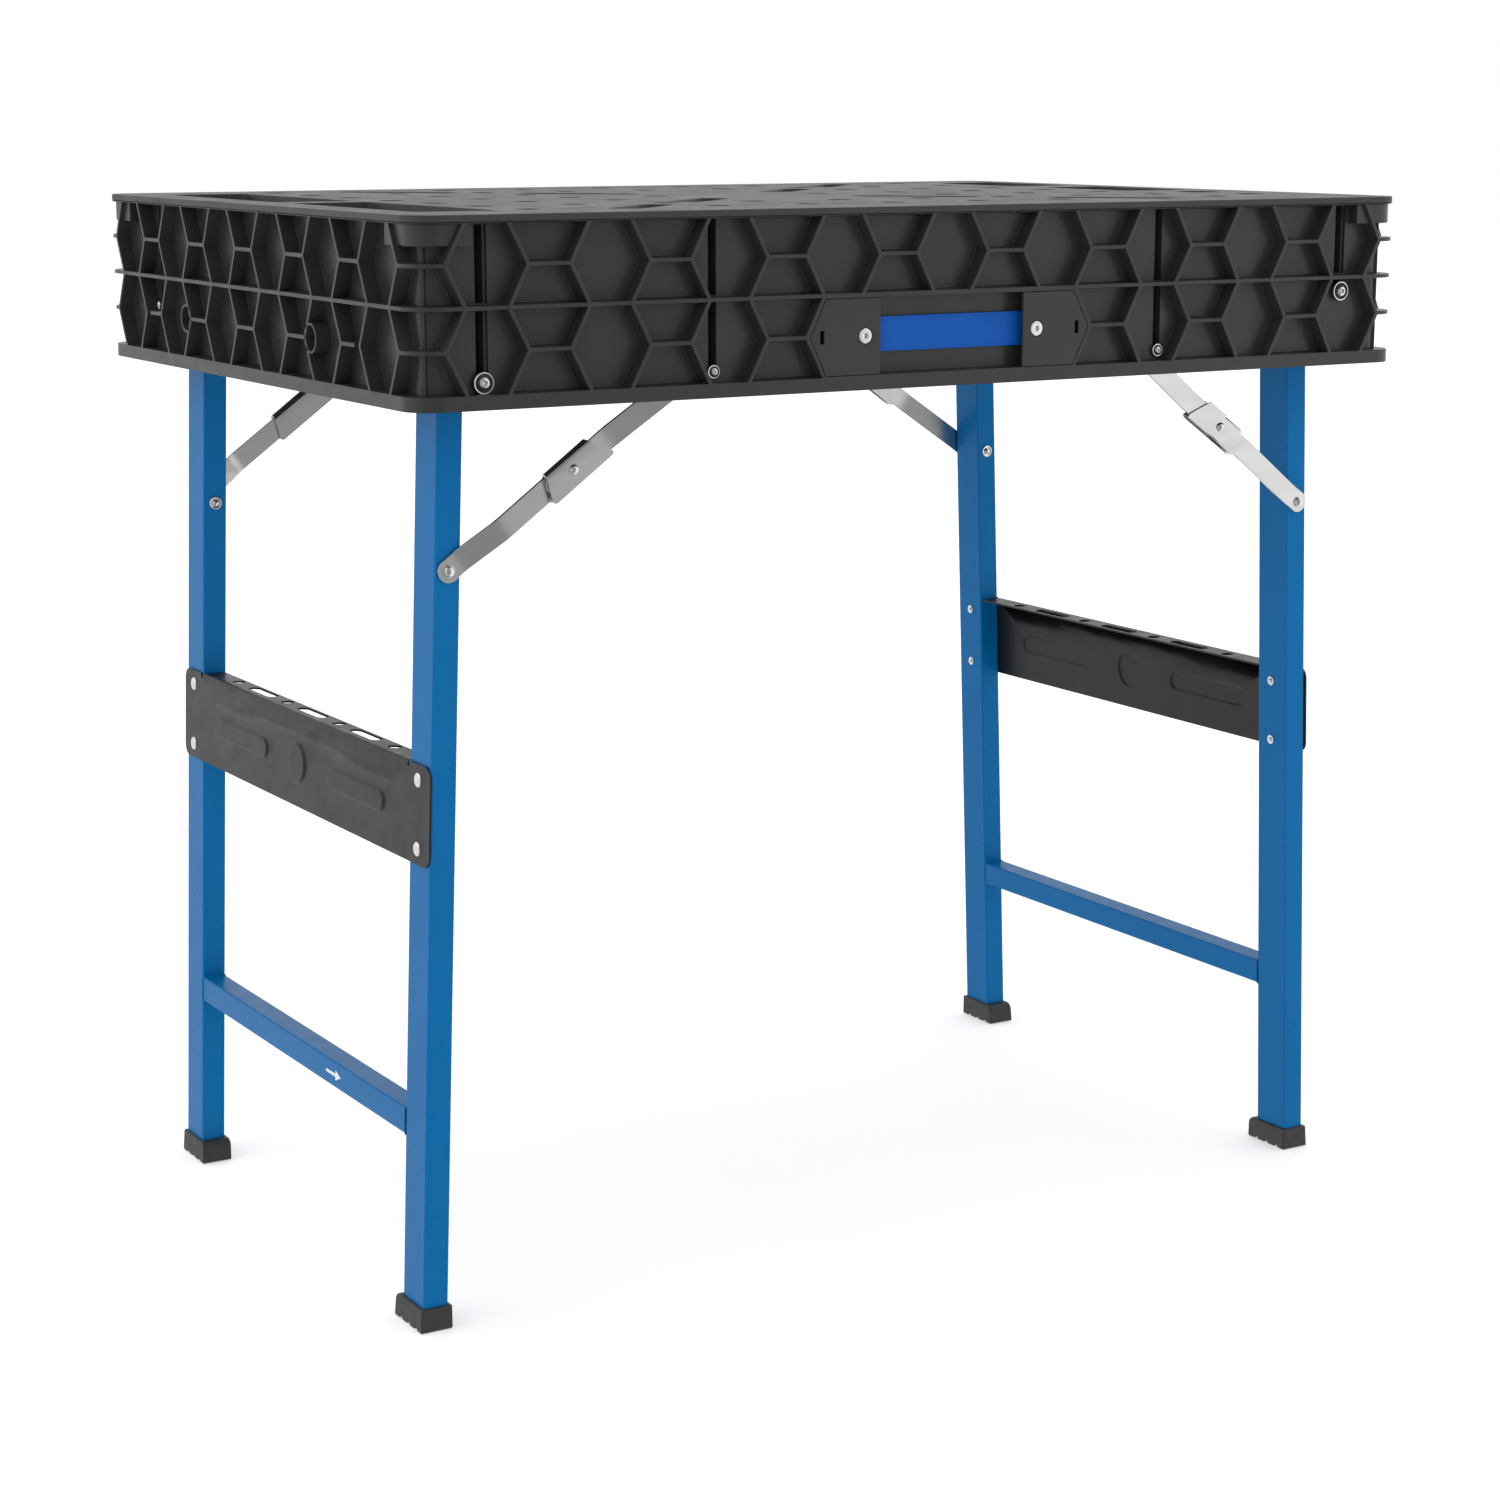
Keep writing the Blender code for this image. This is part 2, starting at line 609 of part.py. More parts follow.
def make_rack(name, side, pivot, material, parent):
    """A sheet across the outer faces of both legs, its top edge bent inward and pierced for tools."""
    low, high = along_leg(RACK_BOTTOM, side), along_leg(RACK_TOP, side)
    face = LEG_X / 2 + GAP
    middle = (low + high) / 2
    rounded = rounded_rectangle(RACK_HALF_Y, (high - low) / 2, RACK_CORNER, 5)
    outline = [(a, b + middle) for a, b in rounded]
    faces = sorted((side * face, side * (face + RACK_SHEET)))
    panel = make_object(name, lean(prism(outline, *faces, "X"), side, pivot), material, parent)
    outer = side * (face + RACK_SHEET)
    inner = side * (face + RACK_SHEET - RACK_FLANGE)
    span = sorted((outer - side * 0.0002, inner))
    reach = RACK_FLANGE_HALF_Y
    flange = box((span[0], -reach, high - RACK_SHEET), (span[1], reach, high))
    combine(panel, make_object(name + "_flange", lean(flange, side, pivot)), "UNION", "flange")
    tool = bmesh.new()
    hole_x = side * (face + RACK_SHEET - RACK_HOLE_INSET)
    span = (high - 0.008, high + 0.008)
    for y in RACK_HOLES_Y:
        prism_into(tool, circle((hole_x, y), RACK_HOLE_RADIUS), *span, "Z")
    for y in RACK_SLOTS_Y:
        prism_into(tool, stadium((hole_x, y), RACK_SLOT_HALF, RACK_SLOT_RADIUS, 90), *span, "Z")
    combine(panel, make_object(name + "_holes", lean(tool, side, pivot)), "DIFFERENCE", "holes")


def make_boot(name, side, end, pivot, material, parent):
    """A rubber foot with a grooved sole and a socket for the end of the leg."""
    outer = LEG_OUTER_Y + BOOT_FLARE
    inner = LEG_INNER_Y - BOOT_INNER_STEP
    land = (outer - inner - BOOT_GROOVES * BOOT_GROOVE) / (BOOT_GROOVES + 1)
    profile = [(inner, 0)]
    for groove in range(BOOT_GROOVES):
        start = inner + land + groove * (land + BOOT_GROOVE)
        profile += [(start, 0), (start, BOOT_GROOVE_DEPTH)]
        profile += [(start + BOOT_GROOVE, BOOT_GROOVE_DEPTH), (start + BOOT_GROOVE, 0)]
    profile += [(outer, 0), (outer, BOOT_TOP)]
    profile += arc((inner + BOOT_SHOULDER, BOOT_TOP - BOOT_SHOULDER), BOOT_SHOULDER, 90, 180, 4)
    half = LEG_X / 2 + BOOT_FLARE
    bm = prism([(end * y, z) for y, z in profile], -half, half, "X")
    for vertex in bm.verts:
        vertex.co.x += pivot[0] + side * (pivot[2] - vertex.co.z) * math.tan(SPLAY)
    boot = make_object(name, bm, material, parent)
    clear = 0.0004
    ends = sorted((end * (LEG_INNER_Y - clear), end * (LEG_OUTER_Y + clear)))
    reach = LEG_X / 2 + clear
    bottom = along_leg(LEG_BOTTOM - clear, side)
    tool = box((-reach, ends[0], bottom), (reach, ends[1], along_leg(BOOT_TOP + 0.01, side)))
    combine(boot, make_object(name + "_socket", lean(tool, side, pivot)), "DIFFERENCE", "socket")


def make_leg_frame(side_name, side, materials):
    pivot = (side * PIVOT_X, 0, PIVOT_Z[side])
    parent = make_empty(side_name + "_leg_hinge", pivot)
    for end_name, end in ENDS:
        place = side_name + "_" + end_name
        make_leg("leg_" + place, side, end, pivot, materials["paint"], parent)
        make_boot("foot_" + place, side, end, pivot, materials["rubber"], parent)
    make_crossbar("crossbar_" + side_name, side, pivot, materials["paint"], parent)
    make_rack("tool_rack_" + side_name, side, pivot, materials["panel_paint"], parent)


# ---------------------------------------------------------------- braces


def brace_points(side):
    """The skirt pivot, knee, leg pivot and sleeve centre as (x, z), with the knee on a straight line."""
    leg_x = PIVOT_X + (PIVOT_Z[side] - LEG_PIVOT_HEIGHT) * math.tan(SPLAY)
    skirt = Vector((side * SKIRT_PIVOT[0], SKIRT_PIVOT[1]))
    leg = Vector((side * leg_x, LEG_PIVOT_HEIGHT))
    half = (skirt - leg).length / 2
    down = (leg - skirt).normalized()
    return skirt, skirt + down * (half + KNEE_OFFSET[side]), leg, skirt + down * half


def make_link(name, start, stop, layers, flats, end, material, parent):
    """A flat strip with round ends that steps sideways between two layers along its length.

    start and stop are (x, z) pivots, layers the strip's distance from y = 0 at each, and flats the
    lengths at each end that stay parallel to the layer.
    """
    along = (stop - start).normalized()
    across = Vector((-along.y, along.x))
    length = (stop - start).length
    half = LINK_WIDTH / 2
    steps = 8
    stations = [0.0] + [
        flats[0] + (length - flats[0] - flats[1]) * step / steps for step in range(steps + 1)
    ] + [length]

    def layer(distance):
        share = (distance - flats[0]) / (length - flats[0] - flats[1])
        return layers[0] + (layers[1] - layers[0]) * min(1.0, max(0.0, share))

    def corner(distance, offset, depth):
        place = start + along * distance + across * offset
        return (place.x, end * (layer(distance) + depth), place.y)

    bm = bmesh.new()
    sheets = []
    for depth in (0.0, LINK_SHEET):
        low = [bm.verts.new(corner(s, -half, depth)) for s in stations]
        high = [bm.verts.new(corner(s, half, depth)) for s in stations]
        angles = [math.pi * step / 8 for step in range(1, 8)]
        far = [
            bm.verts.new(corner(length + half * math.sin(a), -half * math.cos(a), depth)) for a in angles
        ]
        near = [bm.verts.new(corner(-half * math.sin(a), half * math.cos(a), depth)) for a in angles]
        for index in range(len(stations) - 1):
            bm.faces.new((low[index], low[index + 1], high[index + 1], high[index]))
        bm.faces.new([low[-1]] + far + [high[-1]])
        bm.faces.new([high[0]] + near + [low[0]])
        sheets.append(low + far + list(reversed(high)) + near)
    count = len(sheets[0])
    for index in range(count):
        after = (index + 1) % count
        bm.faces.new((sheets[0][index], sheets[0][after], sheets[1][after], sheets[1][index]))
    return make_object(name, bm, material, parent)


def link_hole(link, name, place, radius, end):
    span = sorted((end * (LEG_LAYER - 0.01), end * (SKIRT_LAYER + 0.02)))
    combine(link, round_tool(link.name + "_" + name, place, radius, *span), "DIFFERENCE", name)


def make_sleeve(name, centre, along, side, end, material, parent):
    """A folded sheet over the knee, closed on its upper edge, that stops the knee when straight.

    The right knee folds past its upper link, so its sleeve is closed only beyond the knee.
    """
    up = Vector((-along.y, along.x)) * side

    def place(distance, height):
        spot = centre + along * distance + up * height
        return (spot.x, spot.y)

    bottom = -SLEEVE_BELOW
    top = SLEEVE_HALF_WIDTH + SLEEVE_SHEET
    round_half = SLEEVE_BOTTOM_HALF - SLEEVE_CORNER
    left = arc((-round_half, bottom + SLEEVE_CORNER), SLEEVE_CORNER, 180, 270, 4)
    right = arc((round_half, bottom + SLEEVE_CORNER), SLEEVE_CORNER, 270, 360, 4)
    shape = [(-SLEEVE_TOP_HALF, top)] + left + right + [(SLEEVE_TOP_HALF, top)]
    back = KNEE_LOWER_LAYER - GAP - SLEEVE_SHEET
    front = KNEE_UPPER_LAYER + LINK_SHEET + GAP + SLEEVE_SHEET
    span = sorted((end * back, end * front))
    sleeve = make_object(name, prism([place(*p) for p in shape], *span, "Y"), material, parent)
    inner = sorted((end * (back + SLEEVE_SHEET), end * (front - SLEEVE_SHEET)))
    reach = SLEEVE_BOTTOM_HALF + 0.01
    low, high = bottom - 0.01, SLEEVE_HALF_WIDTH
    slot = ((-reach, low), (reach, low), (reach, high), (-reach, high))
    tool = make_object(name + "_slot", prism([place(*p) for p in slot], *inner, "Y"))
    combine(sleeve, tool, "DIFFERENCE", "slot")
    if not KNEE_OFFSET[side]:
        low, high, stop = 0, top + 0.01, -SLEEVE_WEB_START
        window = ((-reach, low), (stop, low), (stop, high), (-reach, high))
        tool = make_object(name + "_window", prism([place(*p) for p in window], *inner, "Y"))
        combine(sleeve, tool, "DIFFERENCE", "window")
    return sleeve, back, front


def make_brace(side_name, side, end_name, end, materials):
    skirt, knee, leg, centre = brace_points(side)
    place = side_name + "_" + end_name
    upper_parent = make_empty("brace_skirt_hinge_" + place, (skirt.x, 0, skirt.y))
    lower_parent = make_empty("brace_knee_hinge_" + place, (knee.x, 0, knee.y))
    steel = materials["zinc"]
    knee_flat = SLEEVE_BOTTOM_HALF + KNEE_OFFSET[side] + FLAT_NEAR_KNEE
    flats = (FLAT_NEAR_END, knee_flat)
    layers = (SKIRT_LAYER, KNEE_UPPER_LAYER)
    name = "brace_upper_link_" + place
    upper = make_link(name, skirt, knee, layers, flats, end, steel, upper_parent)
    link_hole(upper, "skirt_hole", skirt, BRACE_HOLE, end)
    link_hole(upper, "knee_hole", knee, RIVET_HOLE, end)
    flats = (knee_flat, FLAT_NEAR_END)
    layers = (KNEE_LOWER_LAYER, LEG_LAYER)
    name = "brace_lower_link_" + place
    lower = make_link(name, knee, leg, layers, flats, end, steel, lower_parent)
    link_hole(lower, "knee_hole", knee, RIVET_HOLE, end)
    along = (knee - skirt).normalized()
    sleeve, back, front = make_sleeve(
        "brace_sleeve_" + place, centre, along, side, end, steel, upper_parent
    )
    link_hole(sleeve, "rivet_hole", centre, RIVET_HOLE, end)
    head = (
        (front + RIVET_RISE, 0.0014),
        (front + RIVET_RISE * 0.75, 0.0028),
        (front + RIVET_RISE * 0.3, RIVET_HEAD),
        (front + GAP, RIVET_HEAD),
        (front + GAP, RIVET_SHANK),
    )
    if KNEE_OFFSET[side]:
        link_hole(upper, "rivet_hole", centre, RIVET_HOLE, end)
        profile = head + ((KNEE_UPPER_LAYER, RIVET_SHANK),)
        turned("brace_sleeve_rivet_" + place, centre, profile, end, materials["bolt_steel"], upper_parent)
        profile = ((KNEE_UPPER_LAYER + LINK_SHEET, RIVET_SHANK), (KNEE_LOWER_LAYER, RIVET_SHANK))
        turned("brace_knee_pin_" + place, knee, profile, end, materials["bolt_steel"], lower_parent)
    else:
        tail = (
            (back - GAP, RIVET_SHANK),
            (back - GAP, RIVET_HEAD),
            (back - RIVET_TAIL_RISE, 0.0024),
        )
        turned("brace_knee_rivet_" + place, knee, head + tail, end, materials["bolt_steel"], upper_parent)


def main():
    clear_scene()
    materials = make_materials()
    make_deck(materials["plastic"])
    make_rib_grid(materials["plastic"])
    for end_name, end in ENDS:
        make_long_skirt(end_name, end, materials["plastic"])
    for side_name, side in SIDES:
        make_end_skirt(side_name, side, materials["plastic"])
    make_pivot_hardware(materials)
    make_handle(materials)
    for side_name, side in SIDES:
        make_leg_frame(side_name, side, materials)
        for end_name, end in ENDS:
            make_brace(side_name, side, end_name, end, materials)


main()
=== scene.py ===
"""The looks of a folding workbench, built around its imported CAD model.

Metres, +Z up, the front is -Y. The CAD nodes give the places and sizes. Every visible piece is
modelled here again in finer detail and rides on the CAD body that it belongs to.
"""

from math import copysign, cos, hypot, pi, radians, sin, sqrt, tan

import bmesh
import bpy
from mathutils import Matrix, Vector, geometry


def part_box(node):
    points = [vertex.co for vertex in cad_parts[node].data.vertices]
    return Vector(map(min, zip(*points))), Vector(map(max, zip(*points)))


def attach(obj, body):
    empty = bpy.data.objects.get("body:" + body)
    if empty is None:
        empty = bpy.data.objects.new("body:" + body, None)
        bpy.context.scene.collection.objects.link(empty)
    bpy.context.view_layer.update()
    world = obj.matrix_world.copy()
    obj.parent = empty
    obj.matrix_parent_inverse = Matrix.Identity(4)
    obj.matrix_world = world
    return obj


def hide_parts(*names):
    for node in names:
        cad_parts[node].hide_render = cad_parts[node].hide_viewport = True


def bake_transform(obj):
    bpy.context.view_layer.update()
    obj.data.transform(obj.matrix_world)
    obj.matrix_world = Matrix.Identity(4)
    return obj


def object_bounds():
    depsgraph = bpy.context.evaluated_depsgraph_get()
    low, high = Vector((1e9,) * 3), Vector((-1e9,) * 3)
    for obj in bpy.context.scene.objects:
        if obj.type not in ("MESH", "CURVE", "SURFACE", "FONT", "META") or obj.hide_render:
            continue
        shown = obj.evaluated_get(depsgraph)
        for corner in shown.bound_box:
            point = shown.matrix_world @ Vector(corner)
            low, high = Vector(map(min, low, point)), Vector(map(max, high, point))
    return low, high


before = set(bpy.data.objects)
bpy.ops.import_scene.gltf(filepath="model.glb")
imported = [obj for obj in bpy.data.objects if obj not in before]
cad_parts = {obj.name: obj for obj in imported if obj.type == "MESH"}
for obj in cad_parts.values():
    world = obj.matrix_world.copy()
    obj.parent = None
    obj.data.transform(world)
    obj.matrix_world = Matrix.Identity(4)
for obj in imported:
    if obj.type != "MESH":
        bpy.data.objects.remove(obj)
cad_low, cad_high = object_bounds()

MM = 0.001
SIDES = (("left", -1), ("right", 1))
ENDS = (("front", -1), ("rear", 1))

# Camera, at the viewing angle of the reference
CAMERA_PLACE = (-1.3205, -2.2372, 0.8854)
CAMERA_TURN = (78.374, 0.0, -30.647)
CAMERA_LENS = 75.50
CAMERA_SENSOR = 36.0

# Sizes read from the frame
HALF_X = cad_high[0]
HALF_Y = cad_high[1]
TOP_Z = cad_high[2]
SKIRT_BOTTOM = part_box("skirt_front")[0].z
SKIRT_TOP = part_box("skirt_front")[1].z
SKIRT_DEPTH = HALF_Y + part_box("skirt_front")[1].y
STRAP_LOW, STRAP_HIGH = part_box("handle_strap")

# Skirt ribs
CORNER_RADIUS = 0.022
POCKET_DEPTH = 0.012
RIB = 0.003
RIM_ROUNDING = 0.00045
POCKET_DRAFT = 0.0007
POCKET_FILLET = 0.001
GROOVED_POCKET = 0.0003
LOWER_LIP = 0.6905
MIDDLE_RIB = 0.7493
ROW_MIDDLES = (0.72, 0.7782)
SHORT_RIB_HALF = 0.0162
RIB_SLOPE = 0.517
FRONT_PITCH = 0.095
END_PITCH = 0.0977
CORNER_COLUMNS = 9
CORNER_RIB_DEPTH = 0.0098
SHORT_RIB_TIP = 0.0076
CHANNEL_COVER = 0.002
# Bolt channels: (half width, depth) of each step, from the outside in
PIVOT_CHANNEL = ((0.0052, 0.014), (0.003, 0.026))
BRACE_CHANNEL = ((0.0033, 0.024),)
SCREW_CHANNEL = ((0.0015, 0.02),)
SOCKET_Y = 0.124
SOCKET_Z = 0.72
SOCKET_RADIUS = 0.0112
SOCKET_BORE = 0.0092
END_SCREW_Y = 0.206
END_SCREW_Z = 0.7256
PAD_BOTTOM = 0.791
PAD_SETBACK = 0.003
PAD_START_FRONT = 0.3895
PAD_START_END = 0.251

# Deck
TRAY_DEPTH = 0.016
TRAY_CORNER = 0.007
# Trays and cups in mm: (low x, high x, low y, high y) and (x, y, radius)
TRAYS = ((-402, -338, -238, -15), (-402, -338, 15, 238), (346, 410, -57, 68), (346, 410, 113, 238))
CUPS = ((378, -112, 18), (378, -180, 13))
SLOT_HALF_LENGTH = 0.052
SLOT_RADIUS = 0.013
SLOT_CENTRES = (0.1, 0.212)
DOG_HOLE_PITCH = (0.077, 0.078)
DOG_HOLE_SHIFT = 0.012
DOG_HOLE_RADIUS = 0.01
HOLE_CLEARANCE = 0.004
THIN_SLOT_HALF = 0.013
THIN_SLOT_RADIUS = 0.0018
# Depth of slots and holes, above the rib grid under the deck
HOLE_DEPTH = 0.0048
TUB_WALL = 0.0016
# (distance inward, depth) round the edge of the deck, from the top face to the underside
DECK_EDGE = [
    (inward * MM, depth * MM)
    for inward, depth in ((0.9, 0.0), (0.3, 0.25), (0.0, 0.9), (0.0, 4.4), (0.5, 5.0), (14.0, 5.0))
]

# Leg frames
PIVOT_X = 0.38
PIVOT_Z = {-1: 0.698, 1: 0.738}
SPLAY = radians(2.2)
LEG_X = 0.0199
LEG_Y = 0.0356
LEG_OUTER_Y = 0.2409
LEG_INNER_Y = LEG_OUTER_Y - LEG_Y
LEG_WALL = 0.0013
LEG_CORNER = 0.0015
LEG_ABOVE_PIVOT = 0.014
LEG_BOTTOM = 0.006
BAR_BOTTOM = 0.141
BAR_TOP = 0.1615
RACK_SHEET = 0.0015
RACK_BOTTOM = 0.348
RACK_TOP = 0.4215
RACK_HALF_Y = 0.242
RACK_CORNER = 0.009
RACK_BEND = 0.003
RACK_FACE = LEG_X / 2 + 0.0002
RACK_NOTCH = (0.003, 0.001)
# (distance inward, height) of each ring of a pressed bead
RACK_BEAD = [(inward * MM, rise * MM) for inward, rise in ((0.0, 0.0), (0.8, 0.5), (1.6, 1.3), (2.6, 1.5))]
RACK_FLANGE = 0.02
RACK_FLANGE_HALF_Y = 0.2035
RACK_HOLE_INSET = 0.0127
RACK_HOLE_RADIUS = 0.0055
RACK_HOLES_Y = (-0.1535, -0.0512, 0.0512, 0.1535)
RACK_SLOTS_Y = (-0.101, 0.0, 0.101)
RACK_SLOT_HALF = 0.0185
RACK_SLOT_RADIUS = 0.005
RACK_RIVET_Y = 0.222
RACK_RIVET_Z = (0.3595, 0.41)
BOOT_TOP = 0.018
BOOT_FLARE = 0.003
BOOT_DRAFT = 0.0005
BOOT_INNER_STEP = 0.009
BOOT_SHOULDER = 0.006
BOOT_GROOVE = 0.0045
BOOT_GROOVES = 3

# Braces, as in the CAD model
SKIRT_PIVOT = (0.1982, 0.698)
LEG_PIVOT_HEIGHT = 0.5627
KNEE_OFFSET = {-1: 0.016, 1: 0.0}
LINK_WIDTH = 0.017
LINK_SHEET = 0.0022
LINK_GAP = 0.0004
LEG_LAYER = 0.2413
KNEE_LOWER_LAYER = 0.2494
KNEE_UPPER_LAYER = KNEE_LOWER_LAYER + LINK_SHEET + LINK_GAP
SKIRT_LAYER = 0.262
SLEEVE_SHEET = 0.0014
SLEEVE_GAP = 0.0003
SLEEVE_BACK = KNEE_LOWER_LAYER - SLEEVE_GAP - SLEEVE_SHEET
SLEEVE_FRONT = KNEE_UPPER_LAYER + LINK_SHEET + SLEEVE_GAP + SLEEVE_SHEET
SLEEVE_BOTTOM_HALF = 0.028
SLEEVE_LONG_CORNER = 0.006
SLEEVE_TOP_HALF = 0.02
SLEEVE_HALF_WIDTH = 0.0096
SLEEVE_BELOW = 0.0112
SLEEVE_CORNER = 0.004
FLAT_NEAR_END = 0.012
FLAT_NEAR_KNEE = 0.003

# Handle
COVER_TIP = 0.1237
COVER_SHOULDER = 0.1099
COVER_EDGE = 0.0635
COVER_BOTTOM = 0.6915
COVER_TOP = 0.7468
COVER_MIDDLE = 0.7195
COVER_SHEET = 0.0025
COVER_WINDOW_X = 0.1133
COVER_WINDOW = (0.0017, 0.0048)
HANDLE_SCREW_X = 0.0763
STRAP_END = 0.088

# --- materials


def feed(tree, node, inputs):
    """Gives each input of a node a value, or a link when it is the output of another node."""
    for key, value in inputs.items():
        if isinstance(value, bpy.types.NodeSocket):
            tree.links.new(value, node.inputs[key])
        else:
            node.inputs[key].default_value = value


def add_node(tree, kind, **inputs):
    """A new shader node. The names of its inputs are written with _ for a space."""
    node = tree.nodes.new("ShaderNode" + kind)
    feed(tree, node, {key.replace("_", " "): value for key, value in inputs.items()})
    return node


def noise(tree, place, stretch, scale, detail):
    """A noise texture in metres of object space."""
    mapping = add_node(tree, "Mapping", Vector=place, Scale=stretch)
    texture = add_node(tree, "TexNoise", Vector=mapping.outputs["Vector"], Scale=scale, Detail=detail)
    return texture.outputs["Fac"]


def remap(tree, value, low, high):
    node = add_node(tree, "MapRange", Value=value, From_Min=0.3, From_Max=0.7, To_Min=low, To_Max=high)
    return node.outputs["Result"]


def make_material(
    name, colour, spread, patch_scale, roughness, gloss_scale, grain_scale, grain,
    specular=0.5, metallic=0.0, stretch=(1, 1, 1),
):
    """A Principled material with patchy colour, uneven gloss and a fine surface from noise."""
    material = bpy.data.materials.new(name)
    material.use_nodes = True
    tree = material.node_tree
    place = add_node(tree, "TexCoord").outputs["Object"]
    mix = add_node(tree, "Mix")
    mix.data_type = "RGBA"
    feed(tree, mix, {
        "A": (*[c * (1 - spread) for c in colour], 1),
        "B": (*[min(1, c * (1 + spread)) for c in colour], 1),
        "Factor": remap(tree, noise(tree, place, stretch, patch_scale, 4), 0, 1),
    })
    surface = noise(tree, place, stretch, grain_scale, 2)
    bump = add_node(tree, "Bump", Strength=grain, Distance=GRAIN_DEPTH, Height=surface)
    feed(tree, tree.nodes["Principled BSDF"], {
        "Metallic": metallic,
        "Specular IOR Level": specular,
        "Base Color": mix.outputs["Result"],
        "Roughness": remap(tree, noise(tree, place, stretch, gloss_scale, 3), *roughness),
        "Normal": bump.outputs["Normal"],
    })
    return material


GRAIN_DEPTH = 0.2 * MM
# Each look: colour, spread, patch scale, roughness from and to, gloss scale, grain scale, grain,
# and where they are not the usual ones, specular, metallic and stretch
LOOKS = {
    "plastic": ((0.025, 0.025, 0.026), 0.06, 14, (0.30, 0.40), 60, 1800, 0.08, 0.42),
    "deck_plastic": ((0.032, 0.032, 0.033), 0.07, 10, (0.42, 0.54), 40, 1500, 0.22, 0.4),
    "paint": ((0.0010, 0.126, 0.345), 0.04, 9, (0.26, 0.34), 50, 700, 0.02, 0.09),
    "panel_paint": ((0.012, 0.012, 0.0125), 0.07, 12, (0.32, 0.42), 55, 900, 0.05, 0.28),
    "zinc": ((0.62, 0.62, 0.61), 0.04, 40, (0.20, 0.28), 120, 900, 0.04, 0.5, 1.0, (0.12, 1, 1)),
    "bolt_steel": ((0.74, 0.74, 0.73), 0.05, 150, (0.16, 0.26), 300, 2500, 0.04, 0.5, 1.0),
    "rubber": ((0.024, 0.024, 0.025), 0.10, 60, (0.50, 0.62), 150, 1600, 0.25),
    "strap": ((0.004, 0.082, 0.385), 0.05, 25, (0.36, 0.46), 90, 1400, 0.12, 0.12),
    "mark": ((0.72, 0.74, 0.76), 0.04, 80, (0.45, 0.55), 120, 900, 0.05),
}
MATERIALS = {name: make_material("look_" + name, *look) for name, look in LOOKS.items()}


# --- mesh helpers


def finish_piece(name, bm, look, body, replaced=(), bevel=0.0, smooth=35, bevel_angle=40):
    """Turns a bmesh in world coordinates into a piece with a look, riding on a CAD body."""
    bmesh.ops.remove_doubles(bm, verts=bm.verts, dist=1e-6)
    bmesh.ops.recalc_face_normals(bm, faces=bm.faces)
    mesh = bpy.data.meshes.new(name)
    bm.to_mesh(mesh)
    bm.free()
    piece = bpy.data.objects.new(name, mesh)
    bpy.context.scene.collection.objects.link(piece)
    mesh.materials.append(MATERIALS[look])
    if bevel:
        modifier = piece.modifiers.new("rounded_edges", "BEVEL")
        modifier.width = bevel
        modifier.segments = 2
        modifier.limit_method = "ANGLE"
        modifier.angle_limit = radians(bevel_angle)
        modifier.harden_normals = False
    mesh.shade_smooth()
    mesh.set_sharp_from_angle(angle=radians(smooth))
    modifier = piece.modifiers.new("even_normals", "WEIGHTED_NORMAL")
    modifier.keep_sharp = True
    if replaced:
        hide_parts(*replaced)
    if body:
        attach(piece, body)
    return piece


def strip(bm, first, second):
    """Quads between two rows of vertices."""
    for index in range(len(first) - 1):
        bm.faces.new((first[index], second[index], second[index + 1], first[index + 1]))


def loft(bm, rings, first_cap=True, last_cap=True, closed=True, skip=()):
    """Joins rings of the same number of points by quads, except over the skipped spans."""
    made = [[bm.verts.new(point) for point in ring] for ring in rings]
    count = len(made[0])
    for low, high in zip(made, made[1:]):
        for index in range(count if closed else count - 1):
            if index not in skip:
                after = (index + 1) % count
                bm.faces.new((low[index], low[after], high[after], high[index]))
    if first_cap:
        bm.faces.new(made[0])
    if last_cap:
        bm.faces.new(list(reversed(made[-1])))
    return made


def arc(centre, radius, first, last, steps):
    angles = [radians(first + (last - first) * step / steps) for step in range(steps + 1)]
    return [(centre[0] + radius * cos(a), centre[1] + radius * sin(a)) for a in angles]


def circle(centre, radius, steps):
    return arc(centre, radius, 0, 360 - 360 / steps, steps - 1)


def rounded_rectangle(low_a, high_a, low_b, high_b, radius, steps=5):
    """Counter-clockwise points of a rectangle with round corners."""
    left, right = low_a + radius, high_a - radius
    bottom, top = low_b + radius, high_b - radius
    points = []
    for turn, corner in enumerate(((right, top), (left, top), (left, bottom), (right, bottom))):
        points += arc(corner, radius, turn * 90, turn * 90 + 90, steps)
    return points


def stadium(centre, half, radius, angle, steps=10):
    turn = radians(angle)
    along = Vector((half * cos(turn), half * sin(turn)))
    middle = Vector(centre)
    first = arc(middle + along, radius, angle - 90, angle + 90, steps)
    return first + arc(middle - along, radius, angle + 90, angle + 270, steps)


def inset(points, distance):
    """Moves each edge of a counter-clockwise outline inward by a distance."""
    moved = []
    for index, point in enumerate(points):
        here = Vector(point)
        first = (here - Vector(points[index - 1])).normalized()
        second = (Vector(points[(index + 1) % len(points)]) - here).normalized()
        normal = Vector((-first.y - second.y, first.x + second.x))
        if normal.length < 1e-9:
            moved.append(tuple(here))
            continue
        normal.normalize()
        reach = distance / max(0.3, normal.dot(Vector((-first.y, first.x))))
        moved.append(tuple(here + normal * reach))
    return moved


def stack(outline, levels, place):
    """Rings of an outline, one for each (distance inward, depth)."""
    return [[place(a, b, depth) for a, b in inset(outline, distance)] for distance, depth in levels]


